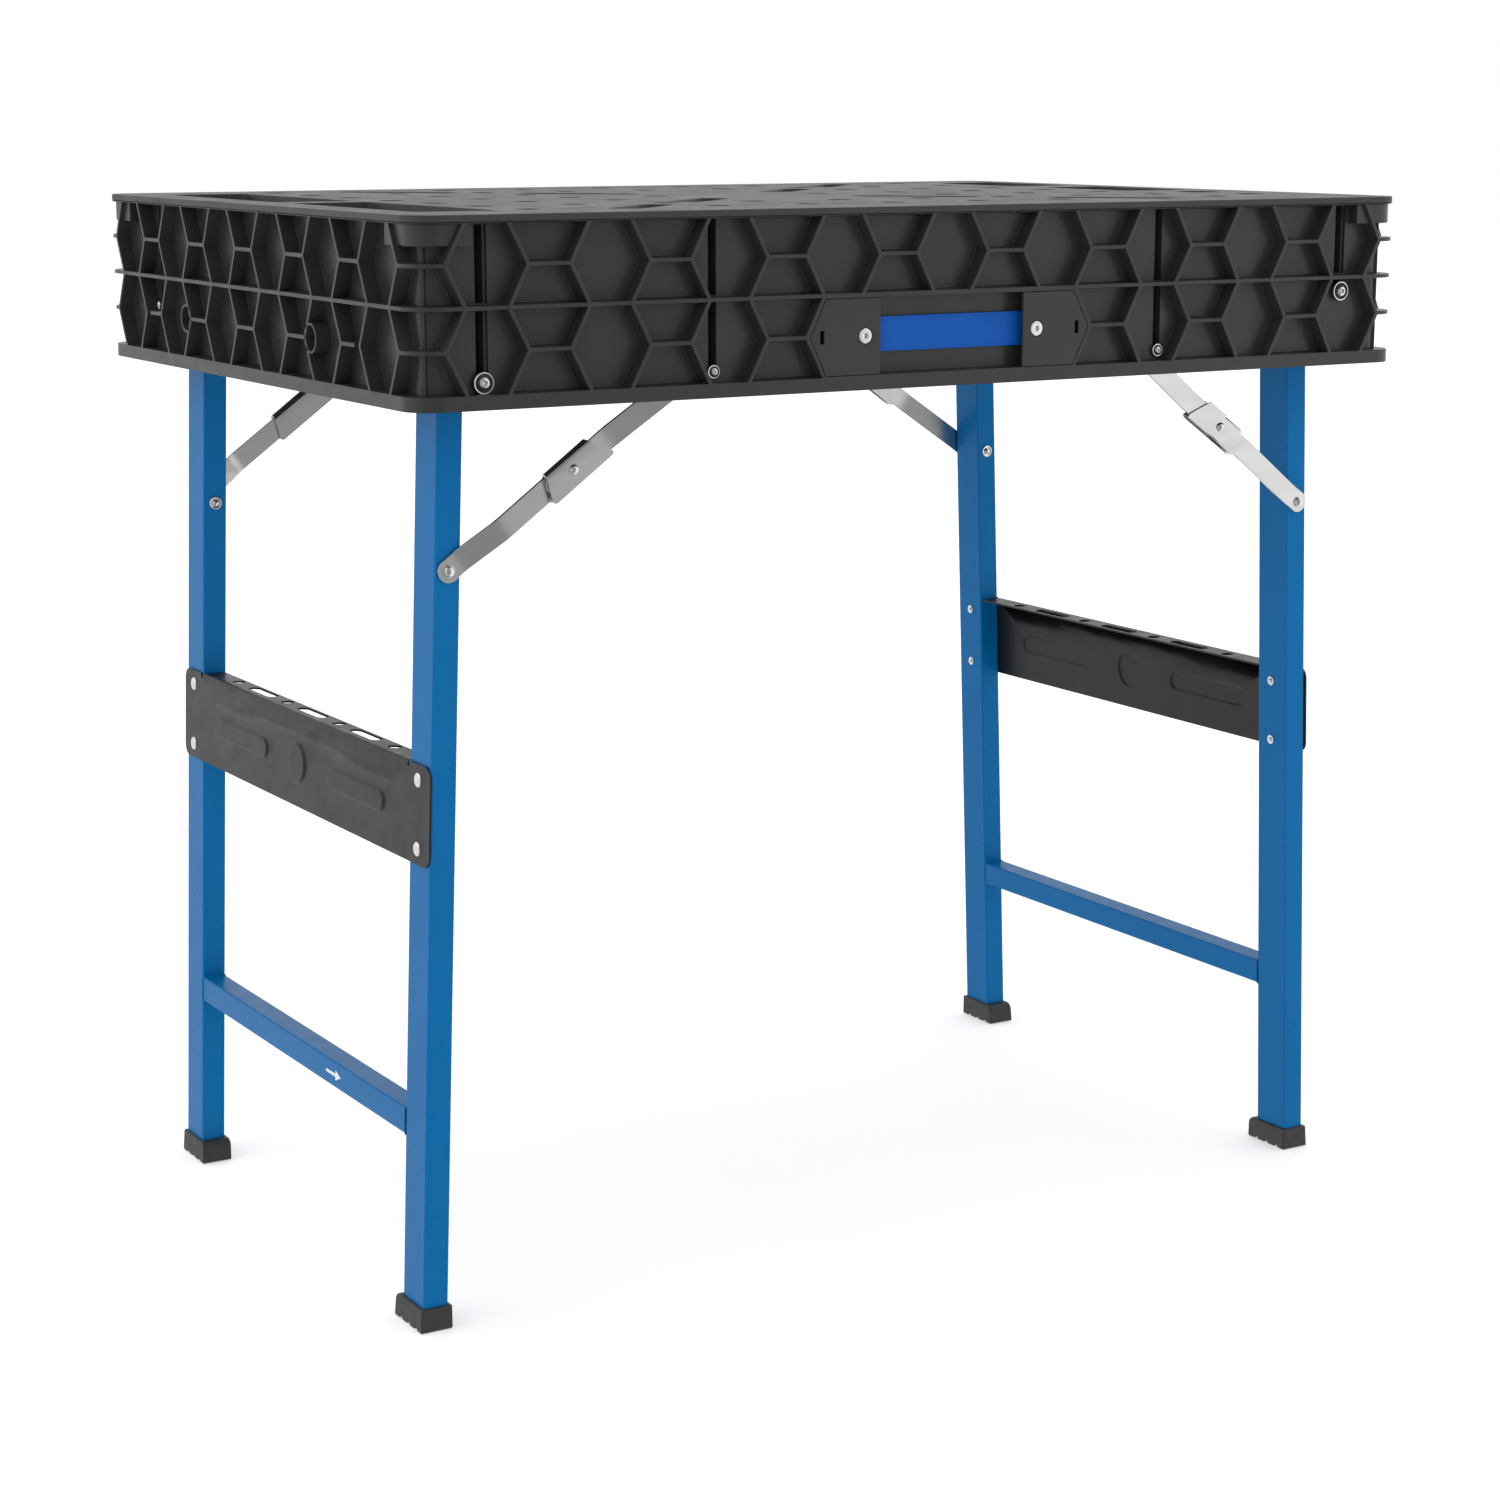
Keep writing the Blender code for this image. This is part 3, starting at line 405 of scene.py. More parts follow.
def subdivide(points, counts):
    """Adds evenly spaced points to each edge of an outline."""
    result = []
    for index, here in enumerate(points):
        after = points[(index + 1) % len(points)]
        for step in range(counts[index]):
            share = step / counts[index]
            result.append((here[0] + (after[0] - here[0]) * share, here[1] + (after[1] - here[1]) * share))
    return result


def inside(point, outline):
    hit = False
    x, y = point
    for index, (x1, y1) in enumerate(outline):
        x2, y2 = outline[(index + 1) % len(outline)]
        if (y1 > y) != (y2 > y) and x < (x2 - x1) * (y - y1) / (y2 - y1) + x1:
            hit = not hit
    return hit


def sheet_with_holes(bm, outline, holes, place):
    """Fills an outline around its holes with triangles; place turns a flat point into a 3-D one."""
    coordinates = []
    edges = []
    for loop in [outline] + list(holes):
        start = len(coordinates)
        coordinates += [Vector(point) for point in loop]
        count = len(loop)
        edges += [(start + index, start + (index + 1) % count) for index in range(count)]
    points, _, faces, _, _, _ = geometry.delaunay_2d_cdt(coordinates, edges, [], 1, 1e-7)
    made = [bm.verts.new(place(point.x, point.y)) for point in points]
    for face in faces:
        centre = sum((points[index] for index in face), Vector((0, 0))) / len(face)
        if not any(inside(centre, hole) for hole in holes):
            bm.faces.new([made[index] for index in face])
    for vertex in [v for v in made if not v.link_faces]:
        bm.verts.remove(vertex)


def pressed_recess(bm, outline, levels, place, floor_holes=()):
    """Walls and floor of a recess: levels are (inset, depth) pairs from the rim inward."""
    loft(bm, stack(outline, levels, place), first_cap=False, last_cap=not floor_holes)
    if floor_holes:
        distance, depth = levels[-1]
        sheet_with_holes(bm, inset(outline, distance), floor_holes, lambda a, b: place(a, b, depth))


# --- skirt


class Panel:
    """One side of the skirt, from the middle of one round corner to the middle of the next."""

    def __init__(self, normal, distance, end):
        self.normal = Vector(normal)
        self.tangent = Vector((-normal[1], normal[0]))
        self.distance = distance
        self.half = end - CORNER_RADIUS
        self.reach = self.half + CORNER_RADIUS * pi / 4

    def place(self, along, height, depth=0.0):
        """A point at a distance along the side, at a height, and a depth behind the rib faces."""
        if abs(along) <= self.half:
            flat = self.normal * (self.distance - depth) + self.tangent * along
        else:
            sign = copysign(1, along)
            turn = (abs(along) - self.half) / CORNER_RADIUS
            centre = self.tangent * sign * self.half + self.normal * (self.distance - CORNER_RADIUS)
            outward = self.normal * cos(turn) + self.tangent * sign * sin(turn)
            flat = centre + outward * (CORNER_RADIUS - depth)
        return (flat.x, flat.y, height)

    def ring(self, points, depth):
        return [self.place(a, b, depth) for a, b in points]

    def edge(self, height, forward=True):
        """The points of a horizontal edge of the panel, closer together round the corners."""
        curve = self.reach - self.half
        corner = [self.half + curve * step / CORNER_COLUMNS for step in range(CORNER_COLUMNS + 1)]
        line = [-a for a in reversed(corner)] + [-self.half / 3, self.half / 3] + corner
        return [(a, height) for a in (line if forward else reversed(line))]


PANELS = {
    "front": Panel((0, -1), HALF_Y, HALF_X),
    "right": Panel((1, 0), HALF_X, HALF_Y),
    "rear": Panel((0, 1), HALF_Y, HALF_X),
    "left": Panel((-1, 0), HALF_X, HALF_Y),
}
RIB_SHARE = RIB / 2 * sqrt(1 + RIB_SLOPE**2)


def cell_half(pitch, rise):
    return pitch / 2 - SHORT_RIB_HALF - abs(rise) * RIB_SLOPE - RIB_SHARE


def between_half(rise):
    return SHORT_RIB_HALF + abs(rise) * RIB_SLOPE - RIB_SHARE


def mirrored(half):
    """A list of points on the right followed by the same ones on the left."""
    return half + [(-a, b) for a, b in reversed(half)]


def six_sided(centre, pitch, bottom, middle, top):
    half = [(cell_half(pitch, height - middle), height) for height in (bottom, middle, top)]
    return [(centre + a, b) for a, b in mirrored(half)]


def four_sided(centre, low, high, middle, near_limit=None, far_limit=None):
    """The pocket between two heights beside a short rib, with its ends cut off at the limits."""
    bottom = between_half(low - middle)
    top = between_half(high - middle)
    left = (centre - bottom, centre - top) if near_limit is None else (near_limit, near_limit)
    right = (centre + bottom, centre + top) if far_limit is None else (far_limit, far_limit)
    return [(left[0], low), (right[0], low), (right[1], high), (left[1], high)]


def groove(centre, half, low, high):
    return [(centre - half, low), (centre + half, low), (centre + half, high), (centre - half, high)]


def bolt_grooves(name):
    """The vertical channels above the bolts: (place along the panel, lower end, steps)."""
    if name in ("left", "right"):
        return [(sign * END_SCREW_Y, END_SCREW_Z, SCREW_CHANNEL) for sign in (-1, 1)]
    turn = 1 if name == "front" else -1
    found = []
    for _, side in SIDES:
        found.append((turn * side * PIVOT_X, PIVOT_Z[side], PIVOT_CHANNEL))
        found.append((turn * side * SKIRT_PIVOT[0], SKIRT_PIVOT[1], BRACE_CHANNEL))
    return found


def joined_pockets(centre, low, high, middle, side):
    """The two pockets beside a short rib that stops before the rib on its outer side."""
    bottom = between_half(low - middle)
    top = between_half(high - middle)
    near = between_half(RIB / 2)
    points = [
        (-bottom, low), (bottom, low), (between_half(0), middle), (top, high), (-top, high),
        (-near, middle + RIB / 2), (SHORT_RIB_TIP, middle + RIB / 2),
        (SHORT_RIB_TIP, middle - RIB / 2), (-near, middle - RIB / 2),
    ]
    if side < 0:
        points = [(-a, b) for a, b in reversed(points)]
    return [(centre + a, b) for a, b in points]


def row_pockets(panel, row, bottom, middle, top):
    """The pockets of one row of a panel as (outline, points to add on each edge)."""
    long_side = panel.distance == HALF_Y
    behind_handle = panel is PANELS["front"] and row == 0
    pitch = FRONT_PITCH if long_side else END_PITCH
    count = 9 if long_side else 6
    last = (count - 1) / 2
    heights = ((bottom, middle - RIB / 2), (middle + RIB / 2, top))
    pockets = []
    for index in range(count):
        centre = (index - last) * pitch
        if not (behind_handle and abs(centre) < COVER_TIP):
            pockets.append((six_sided(centre, pitch, bottom, middle, top), (1,) * 6))
    for index in range(count - 1):
        centre = (index - last + 0.5) * pitch
        if row == 0 and not long_side and index in (0, count - 2):
            side = copysign(1, centre)
            pockets.append((joined_pockets(centre, bottom, top, middle, side), (1,) * 9))
        elif not (behind_handle and abs(centre) < COVER_TIP):
            pockets += [(four_sided(centre, *pair, middle), (1,) * 4) for pair in heights]
    centre = (last + 0.5) * pitch
    counts = (CORNER_COLUMNS, 1, CORNER_COLUMNS, 1)
    for pair in heights:
        pockets.append((four_sided(centre, *pair, middle, far_limit=panel.reach), counts))
        pockets.append((four_sided(-centre, *pair, middle, near_limit=-panel.reach), counts))
    return pockets


def panel_pockets(name):
    """Every pocket of a panel as (outline, points to add on each edge)."""
    pockets = row_pockets(PANELS[name], 0, LOWER_LIP, ROW_MIDDLES[0], MIDDLE_RIB - RIB / 2)
    pockets += row_pockets(PANELS[name], 1, MIDDLE_RIB + RIB / 2, ROW_MIDDLES[1], SKIRT_TOP - 0.6 * MM)
    if name == "front":
        pockets.append((handle_recess(), (1,) * 6))
    return pockets


def handle_recess():
    gap = 0.35 * MM
    low, high = COVER_BOTTOM - gap, COVER_TOP + gap
    shoulder = COVER_SHOULDER + gap
    return mirrored([(shoulder, low), (COVER_TIP + gap, COVER_MIDDLE), (shoulder, high)])


def pocket_levels(grooved):
    """(distance inward, depth) of each ring of a pocket. One with a bolt channel has steeper walls."""
    draft = GROOVED_POCKET if grooved else POCKET_DRAFT
    fillet = GROOVED_POCKET if grooved else POCKET_FILLET
    return (
        (-RIM_ROUNDING, 0.0),
        (-RIM_ROUNDING * 0.3, RIM_ROUNDING * 0.3),
        (0.0, RIM_ROUNDING),
        (draft, POCKET_DEPTH - fillet),
        (draft + fillet * 0.35, POCKET_DEPTH - fillet * 0.3),
        (draft + fillet, POCKET_DEPTH),
    )


def pocket_ring(panel, outline, counts, distance):
    """A pocket's outline moved inward. Pockets round a corner go on to the end of the panel."""
    points = inset(outline, distance)
    if counts[0] > 1:
        limit = panel.reach - 2 * MM
        points = [(copysign(panel.reach, a) if abs(a) > limit else a, b) for a, b in points]
    return subdivide(points, counts)


def add_pocket(bm, panel, outline, counts, grooves):
    """Walls and floor of a pocket. It returns the bolt channels that go through its floor."""
    top = max(b for _, b in outline)
    crossed = [start < top and inside((centre, top - 1 * MM), outline) for centre, start, _ in grooves]
    levels = pocket_levels(any(crossed))
    rings = [panel.ring(pocket_ring(panel, outline, counts, distance), depth) for distance, depth in levels]
    columns = counts[0]
    if columns > 1:
        open_span = columns if outline[0][0] > 0 else 2 * columns + 1
        loft(bm, rings, first_cap=False, last_cap=False, skip=(open_span,))
        ring = [bm.verts.new(point) for point in rings[-1]]
        strip(bm, ring[:columns + 1], ring[2 * columns + 1:columns:-1])
        return []
    floor = inset(outline, levels[-1][0])
    channels = []
    for centre, start, steps in grooves:
        low = max(start, min(b for _, b in floor)) + 0.2 * MM
        high = max(b for _, b in floor) - 0.2 * MM
        box = groove(centre, steps[0][0], low, high)
        if high - low > 4 * MM and all(inside(point, floor) for point in box):
            channels.append((centre, low, high, steps))
    loft(bm, rings, first_cap=False, last_cap=not channels)
    if channels:
        mouths = [groove(centre, steps[0][0], low, high) for centre, low, high, steps in channels]
        sheet_with_holes(bm, floor, mouths, lambda a, b: panel.place(a, b, POCKET_DEPTH))
    return [add_channel(bm, panel, *channel) for channel in channels]


def add_channel(bm, panel, centre, low, high, steps):
    """The steps of a bolt channel. It returns the outline and depth of the deepest one."""
    depth = POCKET_DEPTH
    ledge = 0.4 * MM
    boxes = [groove(centre, half, low + ledge * i, high - ledge * i) for i, (half, _) in enumerate(steps)]
    for index, (_, deep) in enumerate(steps):
        levels = ((0, depth), (0.1 * MM, deep))
        pressed_recess(bm, boxes[index], levels, panel.place, boxes[index + 1:index + 2])
        depth = deep
    return boxes[-1], depth


def add_wall_back(bm, panel, openings):
    """The lower and upper edges of the wall and its back, open where a channel goes through."""
    heights = (SKIRT_BOTTOM, SKIRT_TOP)
    for height in heights:
        edge = panel.edge(height)
        loft(bm, [panel.ring(edge, depth) for depth in (0.0, SKIRT_DEPTH)], False, False, closed=False)
    for sign in (-1, 1):
        columns = [a for a, _ in panel.edge(SKIRT_BOTTOM) if a * sign >= panel.half - 0.001 * MM]
        rows = [[panel.place(a, z, SKIRT_DEPTH) for a in columns] for z in heights]
        loft(bm, rows, False, False, closed=False)
    flat = groove(0.0, panel.half, *heights)
    sheet_with_holes(bm, flat, openings, lambda a, b: panel.place(a, b, SKIRT_DEPTH))


def add_corner_rib(bm, panel):
    """A low rib down the middle of a round corner, behind the faces of the other ribs."""
    edge = 0.4 * MM
    half = [
        (RIB / 2, CORNER_RIB_DEPTH), (RIB / 2 + edge, CORNER_RIB_DEPTH + edge),
        (3.2 * MM, POCKET_DEPTH + edge),
    ]
    section = mirrored(half)
    heights = (LOWER_LIP - 1 * MM, SKIRT_TOP - 0.3 * MM)
    loft(bm, [[panel.place(panel.reach + a, height, depth) for a, depth in section] for height in heights])


def add_channel_cover(bm, panel, box, depth):
    """The back of a bolt channel, a tub that stands inside the wall."""
    low_a, high_a = box[0][0] - CHANNEL_COVER, box[1][0] + CHANNEL_COVER
    low_b, high_b = box[0][1] - CHANNEL_COVER / 2, box[2][1] + CHANNEL_COVER / 2
    outline = ((low_a, low_b), (high_a, low_b), (high_a, high_b), (low_a, high_b))
    depths = (SKIRT_DEPTH - 0.5 * MM, depth + CHANNEL_COVER)
    loft(bm, [panel.ring(outline, d) for d in depths], first_cap=False)


def make_skirt():
    """The ribbed wall round the top, as one moulding with its pockets and bolt channels."""
    bm = bmesh.new()
    covers = bmesh.new()
    corner_ribs = bmesh.new()
    for name, panel in PANELS.items():
        grooves = bolt_grooves(name)
        holes = []
        openings = []
        for outline, counts in panel_pockets(name):
            holes.append(pocket_ring(panel, outline, counts, -RIM_ROUNDING))
            for box, depth in add_pocket(bm, panel, outline, counts, grooves):
                openings.append(box)
                add_channel_cover(covers, panel, box, depth)
        rim = panel.edge(SKIRT_BOTTOM) + panel.edge(SKIRT_TOP, forward=False)
        sheet_with_holes(bm, rim, holes, panel.place)
        add_wall_back(bm, panel, openings)
        add_corner_rib(corner_ribs, panel)
    replaced = ["skirt_" + name for name in PANELS]
    finish_piece("skirt_moulding", bm, "plastic", "worktop", replaced, smooth=28)
    finish_piece("bolt_channels", covers, "plastic", "worktop", bevel=0.8 * MM)
    finish_piece("corner_ribs", corner_ribs, "plastic", "worktop")


def make_corner_pads():
    """The blocks under the deck edge at the four corners, a little behind the rib faces."""
    bm = bmesh.new()
    panels = list(PANELS.values())
    top = SKIRT_TOP - 0.3 * MM
    back = POCKET_DEPTH + 0.5 * MM
    section = ((PAD_BOTTOM, PAD_SETBACK), (top, PAD_SETBACK), (top, back), (PAD_BOTTOM, back))
    for index, first in enumerate(panels):
        stations = []
        for panel, sign in ((first, 1), (panels[(index + 1) % 4], -1)):
            start = PAD_START_FRONT if panel.distance == HALF_Y else PAD_START_END
            curve = panel.reach - panel.half
            spots = [start] + [panel.half + curve * step / 5 for step in range(6)]
            stations.append([[panel.place(sign * spot, *corner) for corner in section] for spot in spots])
        loft(bm, stations[0] + list(reversed(stations[1]))[1:])
    finish_piece("corner_pads", bm, "plastic", "worktop", bevel=0.7 * MM, bevel_angle=50)


def make_end_sockets():
    """Two round sockets on each end, from the wall out to the rib faces."""
    profile = (
        (SOCKET_RADIUS + 1.0 * MM, POCKET_DEPTH + 0.2 * MM),
        (SOCKET_RADIUS + 0.3 * MM, POCKET_DEPTH - 1.2 * MM),
        (SOCKET_RADIUS, 0.5 * MM),
        (SOCKET_RADIUS - 0.4 * MM, 0.0),
        (SOCKET_BORE + 0.4 * MM, 0.0),
        (SOCKET_BORE, 0.5 * MM),
        (SOCKET_BORE - 0.2 * MM, POCKET_DEPTH - 0.3 * MM),
    )
    for name in ("left", "right"):
        bm = bmesh.new()
        for y in (-SOCKET_Y, SOCKET_Y):
            rings = [(circle((y, SOCKET_Z), radius, 40), depth) for radius, depth in profile]
            loft(bm, [PANELS[name].ring(*ring) for ring in rings])
        finish_piece("end_sockets_" + name, bm, "plastic", "worktop")


# --- deck


def clear_of_recesses(x, y, radius):
    """Whether a round hole keeps off the clamp slots, the trays and the cups."""
    margin = radius + HOLE_CLEARANCE
    half = SLOT_HALF_LENGTH - SLOT_RADIUS
    for reach in SLOT_CENTRES:
        along = Vector((copysign(1, x), copysign(1, y))).normalized()
        offset = Vector((x, y)) - along * reach * sqrt(2)
        slide = max(-half, min(half, offset.dot(along)))
        if (offset - along * slide).length < SLOT_RADIUS + margin:
            return False
    for x0, x1, y0, y1 in TRAYS:
        if hypot(max(x0 * MM - x, x - x1 * MM, 0), max(y0 * MM - y, y - y1 * MM, 0)) < margin:
            return False
    return all(hypot(x - a * MM, y - b * MM) > r * MM + margin for a, b, r in CUPS)


def deck_holes():
    """Places of the dog holes, and of the thin slots between them in the front and rear rows."""
    pitch_x, pitch_y = DOG_HOLE_PITCH
    round_holes = []
    thin_slots = []
    for column in range(-8, 9):
        for row in range(-3, 4):
            x = column * pitch_x / 2
            y = row * pitch_y + DOG_HOLE_SHIFT
            in_middle = abs(x) < 120 * MM and abs(y) < 140 * MM and abs(x) < abs(y) + 40 * MM
            if column % 2:
                if abs(row) == 3 and clear_of_recesses(x, y, THIN_SLOT_HALF):
                    thin_slots.append((x, y))
            elif not in_middle and clear_of_recesses(x, y, DOG_HOLE_RADIUS):
                round_holes.append((x, y))
    return round_holes, thin_slots


def recess_levels(depth, wall=0.6 * MM, rounding=0.35 * MM):
    return (
        (-rounding, 0.0),
        (-rounding * 0.3, rounding * 0.3),
        (0.0, rounding),
        (wall, depth - 1.2 * MM),
        (wall + 0.4 * MM, depth - 0.35 * MM),
        (wall + 1.3 * MM, depth),
    )


def deck_recesses():
    """The outline and levels of every tray, cup, clamp slot, dog hole and thin slot."""
    recesses = []
    for corners in TRAYS:
        outline = rounded_rectangle(*[value * MM for value in corners], TRAY_CORNER, 6)
        recesses.append((outline, recess_levels(TRAY_DEPTH, 1.2 * MM)))
    for x, y, radius in CUPS:
        recesses.append((circle((x * MM, y * MM), radius * MM, 48), recess_levels(TRAY_DEPTH, 0.8 * MM)))
    for sign_x, sign_y in ((1, 1), (-1, 1), (-1, -1), (1, -1)):
        for reach in SLOT_CENTRES:
            centre = (sign_x * reach, sign_y * reach)
            outline = stadium(centre, SLOT_HALF_LENGTH - SLOT_RADIUS, SLOT_RADIUS, 45 * sign_x * sign_y)
            recesses.append((outline, recess_levels(HOLE_DEPTH)))
    round_holes, thin_slots = deck_holes()
    for centre in round_holes:
        recesses.append((circle(centre, DOG_HOLE_RADIUS, 36), recess_levels(HOLE_DEPTH, 0.3 * MM)))
    edge = 0.4 * MM
    levels = ((-edge, 0.0), (0.0, edge), (0.2 * MM, HOLE_DEPTH - edge), (0.5 * MM, HOLE_DEPTH))
    for centre in thin_slots:
        recesses.append((stadium(centre, THIN_SLOT_HALF, THIN_SLOT_RADIUS, 0), levels))
    return recesses


def make_deck():
    """The work surface with its recesses and their tubs below, and a rounded edge."""
    bm = bmesh.new()

    def place(x, y, depth=0.0):
        return (x, y, TOP_Z - depth)

    recesses = deck_recesses()
    for outline, levels in recesses:
        pressed_recess(bm, outline, levels, place)
    edge = rounded_rectangle(-HALF_X, HALF_X, -HALF_Y, HALF_Y, CORNER_RADIUS, 12)
    holes = [inset(outline, levels[0][0]) for outline, levels in recesses]
    sheet_with_holes(bm, inset(edge, DECK_EDGE[0][0]), holes, place)
    loft(bm, stack(edge, DECK_EDGE, place), first_cap=False, last_cap=False)
    inner, under = DECK_EDGE[-1]
    shells = []
    for outline, levels in recesses:
        shells.append(inset(outline, -TUB_WALL))
        bottom = levels[-1][1] + TUB_WALL
        loft(bm, stack(shells[-1], ((0.0, under), (0.8 * MM, bottom)), place), first_cap=False)
    sheet_with_holes(bm, inset(edge, inner), shells, lambda x, y: place(x, y, under))
    finish_piece("deck_moulding", bm, "deck_plastic", "worktop", ["deck_panel"], smooth=28)


# --- turned pieces


def spin(bm, centre, base, profile, side, steps=32):
    """Turns a profile of (mm beyond the base, radius in mm) about an axis along Y.

    A 6 as the third number makes a ring six-sided.
    """
    rings = []
    for distance, radius, *corners in profile:
        y = side * (base + distance * MM)
        ring = []
        for step in range(steps):
            angle = 2 * pi * step / steps
            reach = radius * MM
            if corners:
                part = 2 * pi / corners[0]
                reach *= cos(part / 2) / cos(angle % part - part / 2)
            ring.append((centre[0] + reach * cos(angle), y, centre[1] + reach * sin(angle)))
        rings.append(ring)
    loft(bm, rings)


def spin_along_x(bm, centre, base, profile, direction):
    """A turned shape whose axis is along X: centre is (y, z)."""
    start = len(bm.verts)
    spin(bm, (0, 0), base, profile, 1)
    bm.verts.ensure_lookup_table()
    for vertex in bm.verts[start:]:
        x, y, z = vertex.co
        vertex.co = Vector((direction * y, centre[0] + x, centre[1] + z))


def turned_piece(name, centre, base, profile, side, look="bolt_steel", body="worktop", replaced=()):
    bm = bmesh.new()
    spin(bm, centre, base, profile, side)
    finish_piece(name, bm, look, body, replaced)


def round_edge(distance, radius, rounding, steps=3):
    """Profile points of a rounded outer edge, from the side wall to the face."""
    turns = [pi / 2 * step / steps for step in range(steps + 1)]
    return [(distance - rounding * (1 - sin(a)), radius - rounding * (1 - cos(a))) for a in turns]


def button_head(base, radius, height, socket_radius, socket_depth):
    """Profile of a domed head with a six-sided socket, standing on a base distance."""
    top = base + height
    points = [(base, radius), (base + height * 0.18, radius)]
    for share in (0.25, 0.5, 0.75):
        turn = pi / 2 * share
        drop = radius - (radius - socket_radius * 1.45) * (1 - cos(turn))
        points.append((base + height * (0.18 + 0.82 * sin(turn)), drop))
    return points + [
        (top, socket_radius * 1.35), (top, socket_radius * 1.12, 6), (top - 0.25, socket_radius, 6),
        (top - socket_depth, socket_radius * 0.96, 6), (top - socket_depth - 0.3, 0.3, 6),
    ]


def dome(base, radius, height, steps=5):
    """Profile of a plain domed rivet head."""
    points = [(base, radius), (base + height * 0.12, radius)]
    for step in range(1, steps + 1):
        turn = pi / 2 * step / steps
        points.append((base + height * (0.12 + 0.88 * sin(turn)), max(0.15, radius * cos(turn))))
    return points


PIVOT_HEAD = [(-3, 5.6), (0.1, 5.6), (2.4, 7.7)] + round_edge(4.3, 7.7, 0.4) + [(4.2, 6.7), (2.7, 6.5)]
PIVOT_HEAD += button_head(2.7, 4.6, 3.5, 1.9, 1.8)
BRACE_HEAD = [(-3, 3.0), (0.1, 3.0), (1.2, 4.9)] + round_edge(2.8, 4.9, 0.3) + [(2.7, 4.1), (1.7, 4.0)]
BRACE_HEAD += button_head(1.7, 3.1, 2.4, 1.3, 1.3)
PIVOT_NUT = [
    (0, 4.0), (0, 7.6), (-1.2, 7.6), (-1.2, 6.7, 6), (-5.3, 6.9, 6), (-5.8, 6.2, 6), (-5.8, 4.0), (-7.0, 3.6),
]
BRACE_NUT = [(0, 3.0), (0, 5.0, 6), (-3.4, 5.2, 6), (-3.8, 4.6, 6), (-3.8, 3.0), (-4.6, 2.6)]
# Each bolt: head, dark ring of painted shade in its groove (distance, outer and inner radius), place
# of the nut, nut, radius and start of the boss, channel
BOLTS = {
    "leg_pivot": (
        PIVOT_HEAD, (2.7, 6.6, 4.5), LEG_INNER_Y - 0.3 * MM, PIVOT_NUT,
        12, LEG_OUTER_Y + 0.4 * MM, PIVOT_CHANNEL,
    ),
    "brace": (
        BRACE_HEAD, (1.7, 4.05, 3.0), SKIRT_LAYER - LINK_GAP, BRACE_NUT,
        7, SKIRT_LAYER + LINK_SHEET + LINK_GAP, BRACE_CHANNEL,
    ),
}


def add_bolt_head(node, centre, place, end):
    """A bolt's head in its collar, and a dark ring of painted shade in the groove between them."""
    head, (seat, outer, inner) = BOLTS[node][:2]
    kind = node.replace("leg_", "")
    floor = HALF_Y - POCKET_DEPTH
    turned_piece(kind + "_bolt_head_" + place, centre, floor, head, end)
    # A ring of dark rubber colour on the groove floor round the dome: painted shade of the deep groove.
    ring = [(seat - 0.5, outer), (seat + 0.25, outer), (seat + 0.3, inner), (seat - 0.5, inner)]
    turned_piece(kind + "_bolt_seat_" + place, centre, floor, ring, end, "rubber")


def add_bolt_shank(node, centre, place, end):
    stop, nut = BOLTS[node][2:4]
    name = "_bolt_" + place
    shank = ((HALF_Y - SKIRT_DEPTH + 0.5 * MM - stop) / MM, nut[0][1])
    turned_piece(node.replace("leg_", "") + name, centre, stop, [shank] + nut, end, replaced=[node + name])


def add_boss(node, centre, place, end):
    """The plastic boss round a bolt, behind its channel."""
    radius, start, channel = BOLTS[node][4:]
    length = (HALF_Y - channel[-1][1] - CHANNEL_COVER / 2 - start) / MM
    boss = [(0, radius - 0.6), (0.6, radius), (length - 0.6, radius), (length, radius - 0.6)]
    spacer = [node + "_spacer_" + place]
    turned_piece(node + "_boss_" + place, centre, start, boss, end, "plastic", replaced=spacer)


def make_bolts():
    for end_name, end in ENDS:
        for side_name, side in SIDES:
            pivot = (side * PIVOT_X, PIVOT_Z[side])
            spots = {"leg_pivot": pivot, "brace": (side * SKIRT_PIVOT[0], SKIRT_PIVOT[1])}
            for add_part in (add_bolt_head, add_bolt_shank, add_boss):
                for node, centre in spots.items():
                    add_part(node, centre, side_name + "_" + end_name, end)


def make_end_screws():
    profile = [(-3, 2.2)] + button_head(0, 3.4, 2.2, 1.3, 1.2)
    for side_name, side in SIDES:
        for end_name, end in ENDS:
            bm = bmesh.new()
            spin_along_x(bm, (end * END_SCREW_Y, END_SCREW_Z), HALF_X - 9.5 * MM, profile, side)
            finish_piece("end_screw_" + side_name + "_" + end_name, bm, "bolt_steel", "worktop")


# --- handle


